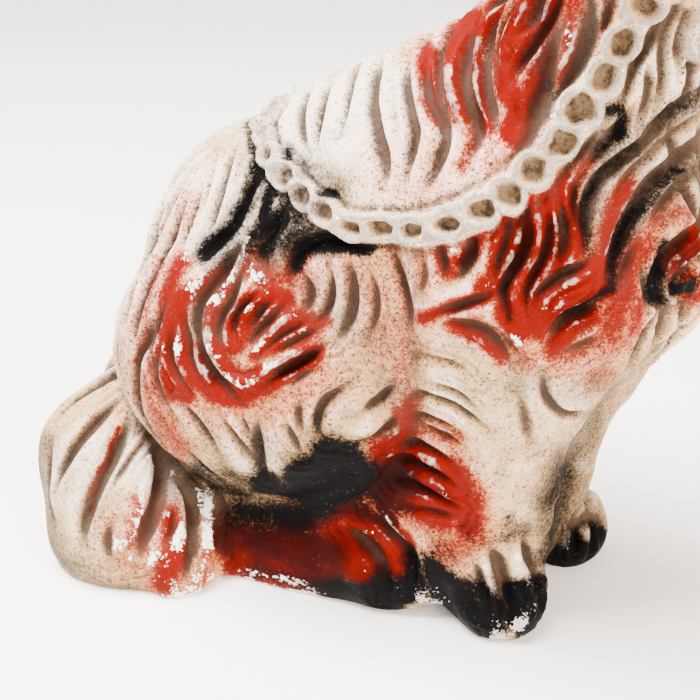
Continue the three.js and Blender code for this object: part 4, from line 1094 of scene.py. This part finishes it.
def painted_plaster(settings):
    n = Nodes("sprayed_plaster")
    colour = lambda name: tuple(getattr(settings, name))
    scarlet, maroon, soot = n.layer("scarlet"), n.layer("maroon"), n.layer("soot")
    groove, glaze, worn = n.layer("groove"), n.layer("glaze"), n.layer("worn")
    pit, rim = n.layer("pit"), n.layer("rim")
    crest, valley, chain, crease = n.layer("crest"), n.layer("valley"), n.layer("chain"), n.layer("crease")
    fine, mist, cloud = n.noise(1500, 2, 0.7), n.noise(620, 3, 0.65, 3.1), n.noise(30, 4, 0.6, 1.7)
    patch, streak = n.noise(75, 5, 0.68, 5.3), n.noise(190, 4, 0.62, 8.2)
    grain = n.math("ADD", n.math("SUBTRACT", fine, 0.5), n.math("SUBTRACT", mist, 0.5))

    def total(*parts):
        sum_ = parts[0]
        for part in parts[1:]:
            sum_ = n.math("ADD", sum_, part)
        return sum_

    def times(value, by):
        return n.math("MULTIPLY", value, by)

    def about(value, by):
        return times(n.math("SUBTRACT", value, 0.5), by)

    # ground coat: whiter where worn and as painted highlight on crests and the pale strokes, browner where
    # the antique glazing stayed and as painted shade in valleys and creases
    rubbed_and_lit = n.ramp(total(about(cloud, 1.6), times(n.layer("pale"), 0.9), times(crest, 0.5)), 0.1, 0.9)
    ground = n.mix(rubbed_and_lit, colour("cream"), colour("plaster"))
    wiped_and_shaded = total(times(groove, 0.55), times(valley, 0.45), times(glaze, 0.75), times(crease, 0.4),
                  times(grain, 0.5), about(patch, 0.6))
    wiped_and_shaded = n.ramp(wiped_and_shaded, 0.14, 1.25)
    ground = n.mix(wiped_and_shaded, ground, colour("antique"))

    def sprayed(strength, low, high, grit):
        return n.ramp(total(strength, times(grain, grit)), low, high)

    # red darkened towards maroon in grooves, and as painted shade in valleys and creases
    deep_and_shaded = total(maroon, times(groove, 0.36), times(valley, 0.3), times(crease, 0.45), about(patch, 1.2))
    red = n.mix(n.ramp(deep_and_shaded, 0.12, 1.1), colour("scarlet"), colour("maroon"))
    tinted = n.add("ShaderNodeMix", data_type="RGBA", blend_type="MULTIPLY")
    n.put(tinted.inputs["Factor"], sprayed(scarlet, 0.0, 0.55, 0.55))
    n.put(tinted.inputs[6], ground)
    tinted.inputs[7].default_value = PINK_WASH
    coat = n.mix(sprayed(scarlet, 0.2, 0.66, 0.75), tinted.outputs[2], red)
    # antique glazing and painted shade over the red as well
    coat = n.mix(times(wiped_and_shaded, n.ramp(total(maroon, scarlet), 0.3, 1.6, 0.55, 0.05)), coat, colour("antique"))
    inside, chance = n.specks(560, 0.34, 2.0)
    drops = times(inside, n.ramp(total(chance, times(scarlet, 0.45)), 0.9, 0.95))
    drops = times(drops, n.ramp(total(scarlet, maroon), 1.0, 0.6))
    coat = n.mix(times(drops, 0.85), coat, colour("scarlet"))
    # black paint, and painted shade where the black strokes lie on the far leg, under the haunch and by the
    # chain
    coat = n.mix(sprayed(soot, 0.1, 0.88, 0.75), coat, colour("soot"))
    inside, chance = n.specks(900, 0.3, 11.0)
    spotted = n.ramp(total(chance, times(soot, -0.9), times(maroon, -0.5)), 0.62, 0.7, 0.0, 0.42)
    coat = n.mix(times(inside, spotted), coat, colour("antique"))
    inside, chance = n.specks(420, 0.2, 7.0)
    coat = n.mix(times(inside, n.ramp(total(chance, times(soot, 0.2)), 0.9, 0.93)), coat, DARK_BUBBLE)
    coat = n.mix(times(pit, 0.8), coat, PIT_BROWN)
    coat = n.mix(n.ramp(total(pit, about(streak, 1.3), about(mist, 0.8)), 0.7, 1.4), coat, PIT_SHADE)
    clean = total(about(mist, 1.6), about(streak, 1.8), times(crest, 0.45), times(soot, -0.7))
    crust = times(times(chain, n.math("SUBTRACT", 1.0, pit)), n.ramp(clean, -0.1, 0.55, 0.05, 0.95))
    coat = n.mix(crust, coat, n.mix(n.ramp(total(mist, streak), 0.84, 1.15), CRUST_DARK, CRUST_PALE))

    # ridge lips pale, partly worn edges and partly painted highlight, then grit over all of it
    edge = n.ramp(total(n.layer("lip"), about(streak, 1.6), about(patch, 1.6), about(mist, 0.8),
                        times(soot, -0.8)), 1.1, 1.75)
    coat = n.mix(times(edge, 0.55), coat, colour("plaster"))
    grit = total(about(fine, 1.0), about(mist, 0.7), about(streak, 0.35), times(crest, -0.03),
                 times(valley, 0.05))
    unpainted = n.ramp(total(soot, times(maroon, 0.6), times(scarlet, 0.35)), 0.15, 0.75, 1.0, 0.08)
    coat = n.mix(times(times(n.ramp(grit, 0.05, 0.17), 0.8), unpainted), coat, GRIT_BROWN)

    # paint flaked off the ridges down to white plaster
    flake = total(times(worn, 0.15), times(rim, 0.13), times(crest, 0.07), times(groove, -0.12),
                  times(patch, 0.2), times(streak, 0.42), times(mist, 0.42))
    flake = n.ramp(flake, 0.70, 0.72)
    coat = n.mix(flake, coat, n.mix(n.ramp(soot, 0.05, 0.4), CHIP, SOOTY_CHIP))
    n.put(n.shader.inputs["Base Color"], coat)

    rough = n.ramp(streak, 0.3, 0.7, 0.32, 0.52)
    rough = n.math("ADD", rough, times(total(flake, wiped_and_shaded), 0.3), clamp=True)
    n.put(n.shader.inputs["Roughness"], rough)
    n.shader.inputs["Specular IOR Level"].default_value = 0.015

    height = total(times(n.noise(240, 4, 0.6, 4.0), 0.5), times(fine, 0.16), times(flake, 0.5),
                   times(chain, n.noise(420, 3, 0.6, 6.0)))
    bump = n.add("ShaderNodeBump")
    bump.inputs["Strength"].default_value = 0.85
    bump.inputs["Distance"].default_value = 0.0006
    n.put(bump.inputs["Height"], height)
    n.put(n.shader.inputs["Normal"], bump.outputs[0])
    return n.material


class SPANIEL_OT_figure(bpy.types.Operator):
    """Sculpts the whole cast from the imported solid, lays on its chain and sprays it"""
    bl_idname = "spaniel.figure"
    bl_label = "Painted figure"

    def execute(self, context):
        noise.seed_set(NOISE_SEED)
        s = context.scene.spaniel
        share = s.height / 100
        figure = copy_of_node()
        apply_modifier(figure, "REMESH", mode="VOXEL", voxel_size=s.grain)
        apply_modifier(figure, "SMOOTH", factor=0.5, iterations=8)
        clay = Clay(figure.data, share)
        clay.settle(3)
        clay.index()
        carve_fur(clay, s.lock_depth)
        links, pit, cover, ditch = lay_chain(clay, s.link_width, s.link_rise)
        band, disc = collar_and_locket(clay)
        lift = (clay.rise - clay.groove + ripple(clay)) * (1 - cover) + links - clay.hollow + clay.swell
        lift = lift * (1 - band) + 0.0024 * band
        lift = lift * (1 - disc) + 0.004 * disc
        lift[clay.points[:, 2] < 0.0006] = 0
        layers = paint_layers(clay, pit, cover, ditch, band, disc, lift)
        carved = clay.points + lift[:, None] * clay.normals
        carved[:, 2] = np.maximum(carved[:, 2], 0)
        write_points(figure.data, carved)
        faces = sum(len(f) - 2 for f in clay.faces)
        apply_modifier(figure, "DECIMATE", ratio=min(1.0, MOST_TRIANGLES / faces))
        mesh = figure.data
        tree = kdtree.KDTree(len(carved))
        for i, p in enumerate(carved):
            tree.insert(p, i)
        tree.balance()
        own = np.array([tree.find(v.co)[1] for v in mesh.vertices])
        for name, values in layers.items():
            mesh.attributes.new(name, "FLOAT", "POINT").data.foreach_set("value",
                                                                         values[own].astype(np.float32))
        mesh.shade_smooth()
        mesh.materials.append(painted_plaster(s))
        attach(figure, "root")
        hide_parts(NODE)
        return {"FINISHED"}


class SPANIEL_OT_stage(bpy.types.Operator):
    """Adds the pale floor, the soft lights and the camera"""
    bl_idname = "spaniel.stage"
    bl_label = "Studio stage"

    def execute(self, context):
        bpy.ops.object.select_all(action="DESELECT")
        bpy.ops.mesh.primitive_plane_add(size=8, location=(0, 0, 0))
        floor = context.object
        floor.name = "studio_floor"
        n = Nodes("pale_paper")
        n.shader.inputs["Base Color"].default_value = (0.93, 0.91, 0.90, 1)
        n.shader.inputs["Roughness"].default_value = 0.85
        floor.data.materials.append(n.material)

        world = bpy.data.worlds.new("soft_room")
        world.use_nodes = True
        world.node_tree.nodes["Background"].inputs["Color"].default_value = (1.0, 0.985, 0.97, 1)
        world.node_tree.nodes["Background"].inputs["Strength"].default_value = 1.56
        context.scene.world = world

        for name, place, size, power, tint in (
            ("window", (-0.42, -0.22, 1.35), 0.85, 138, (1.0, 0.98, 0.96)),
            ("bounce", (1.1, -0.5, 0.5), 0.9, 46, (1.0, 0.80, 0.63)),
        ):
            lamp = bpy.data.lights.new(name, "AREA")
            lamp.size, lamp.energy = size, power
            lamp.color = tint
            body = bpy.data.objects.new(name, lamp)
            body.location = place
            aim = Vector((0, 0, 0.12)) - body.location
            body.rotation_euler = aim.to_track_quat("-Z", "Y").to_euler()
            context.scene.collection.objects.link(body)

        eye = bpy.data.cameras.new("photograph_view")
        eye.sensor_width = 36
        eye.lens = 36 * FOCAL_PX / SIZE_PX
        eye.clip_start = 0.02
        body = bpy.data.objects.new("photograph_view", eye)
        body.location = EYE
        body.rotation_euler = Vector(-BACK).to_track_quat("-Z", "Y").to_euler()
        context.scene.collection.objects.link(body)
        context.scene.camera = body
        return {"FINISHED"}


class SPANIEL_PT_panel(bpy.types.Panel):
    """Lists the steps and their sizes"""
    bl_idname = "SPANIEL_PT_panel"
    bl_label = "Mantel spaniel"
    bl_space_type = "VIEW_3D"
    bl_region_type = "UI"
    bl_category = "Spaniel"

    def draw(self, context):
        settings = context.scene.spaniel
        for name in settings.__annotations__:
            self.layout.prop(settings, name)
        for step in (SPANIEL_OT_figure, SPANIEL_OT_stage):
            self.layout.operator(step.bl_idname)


CLASSES = (SpanielSettings, SPANIEL_OT_figure, SPANIEL_OT_stage, SPANIEL_PT_panel)


def register():
    for cls in CLASSES:
        bpy.utils.register_class(cls)
    bpy.types.Scene.spaniel = bpy.props.PointerProperty(type=SpanielSettings)


def unregister():
    del bpy.types.Scene.spaniel
    for cls in reversed(CLASSES):
        bpy.utils.unregister_class(cls)


def main():
    register()
    bpy.ops.spaniel.figure()
    bpy.ops.spaniel.stage()


if __name__ == "__main__":
    main()
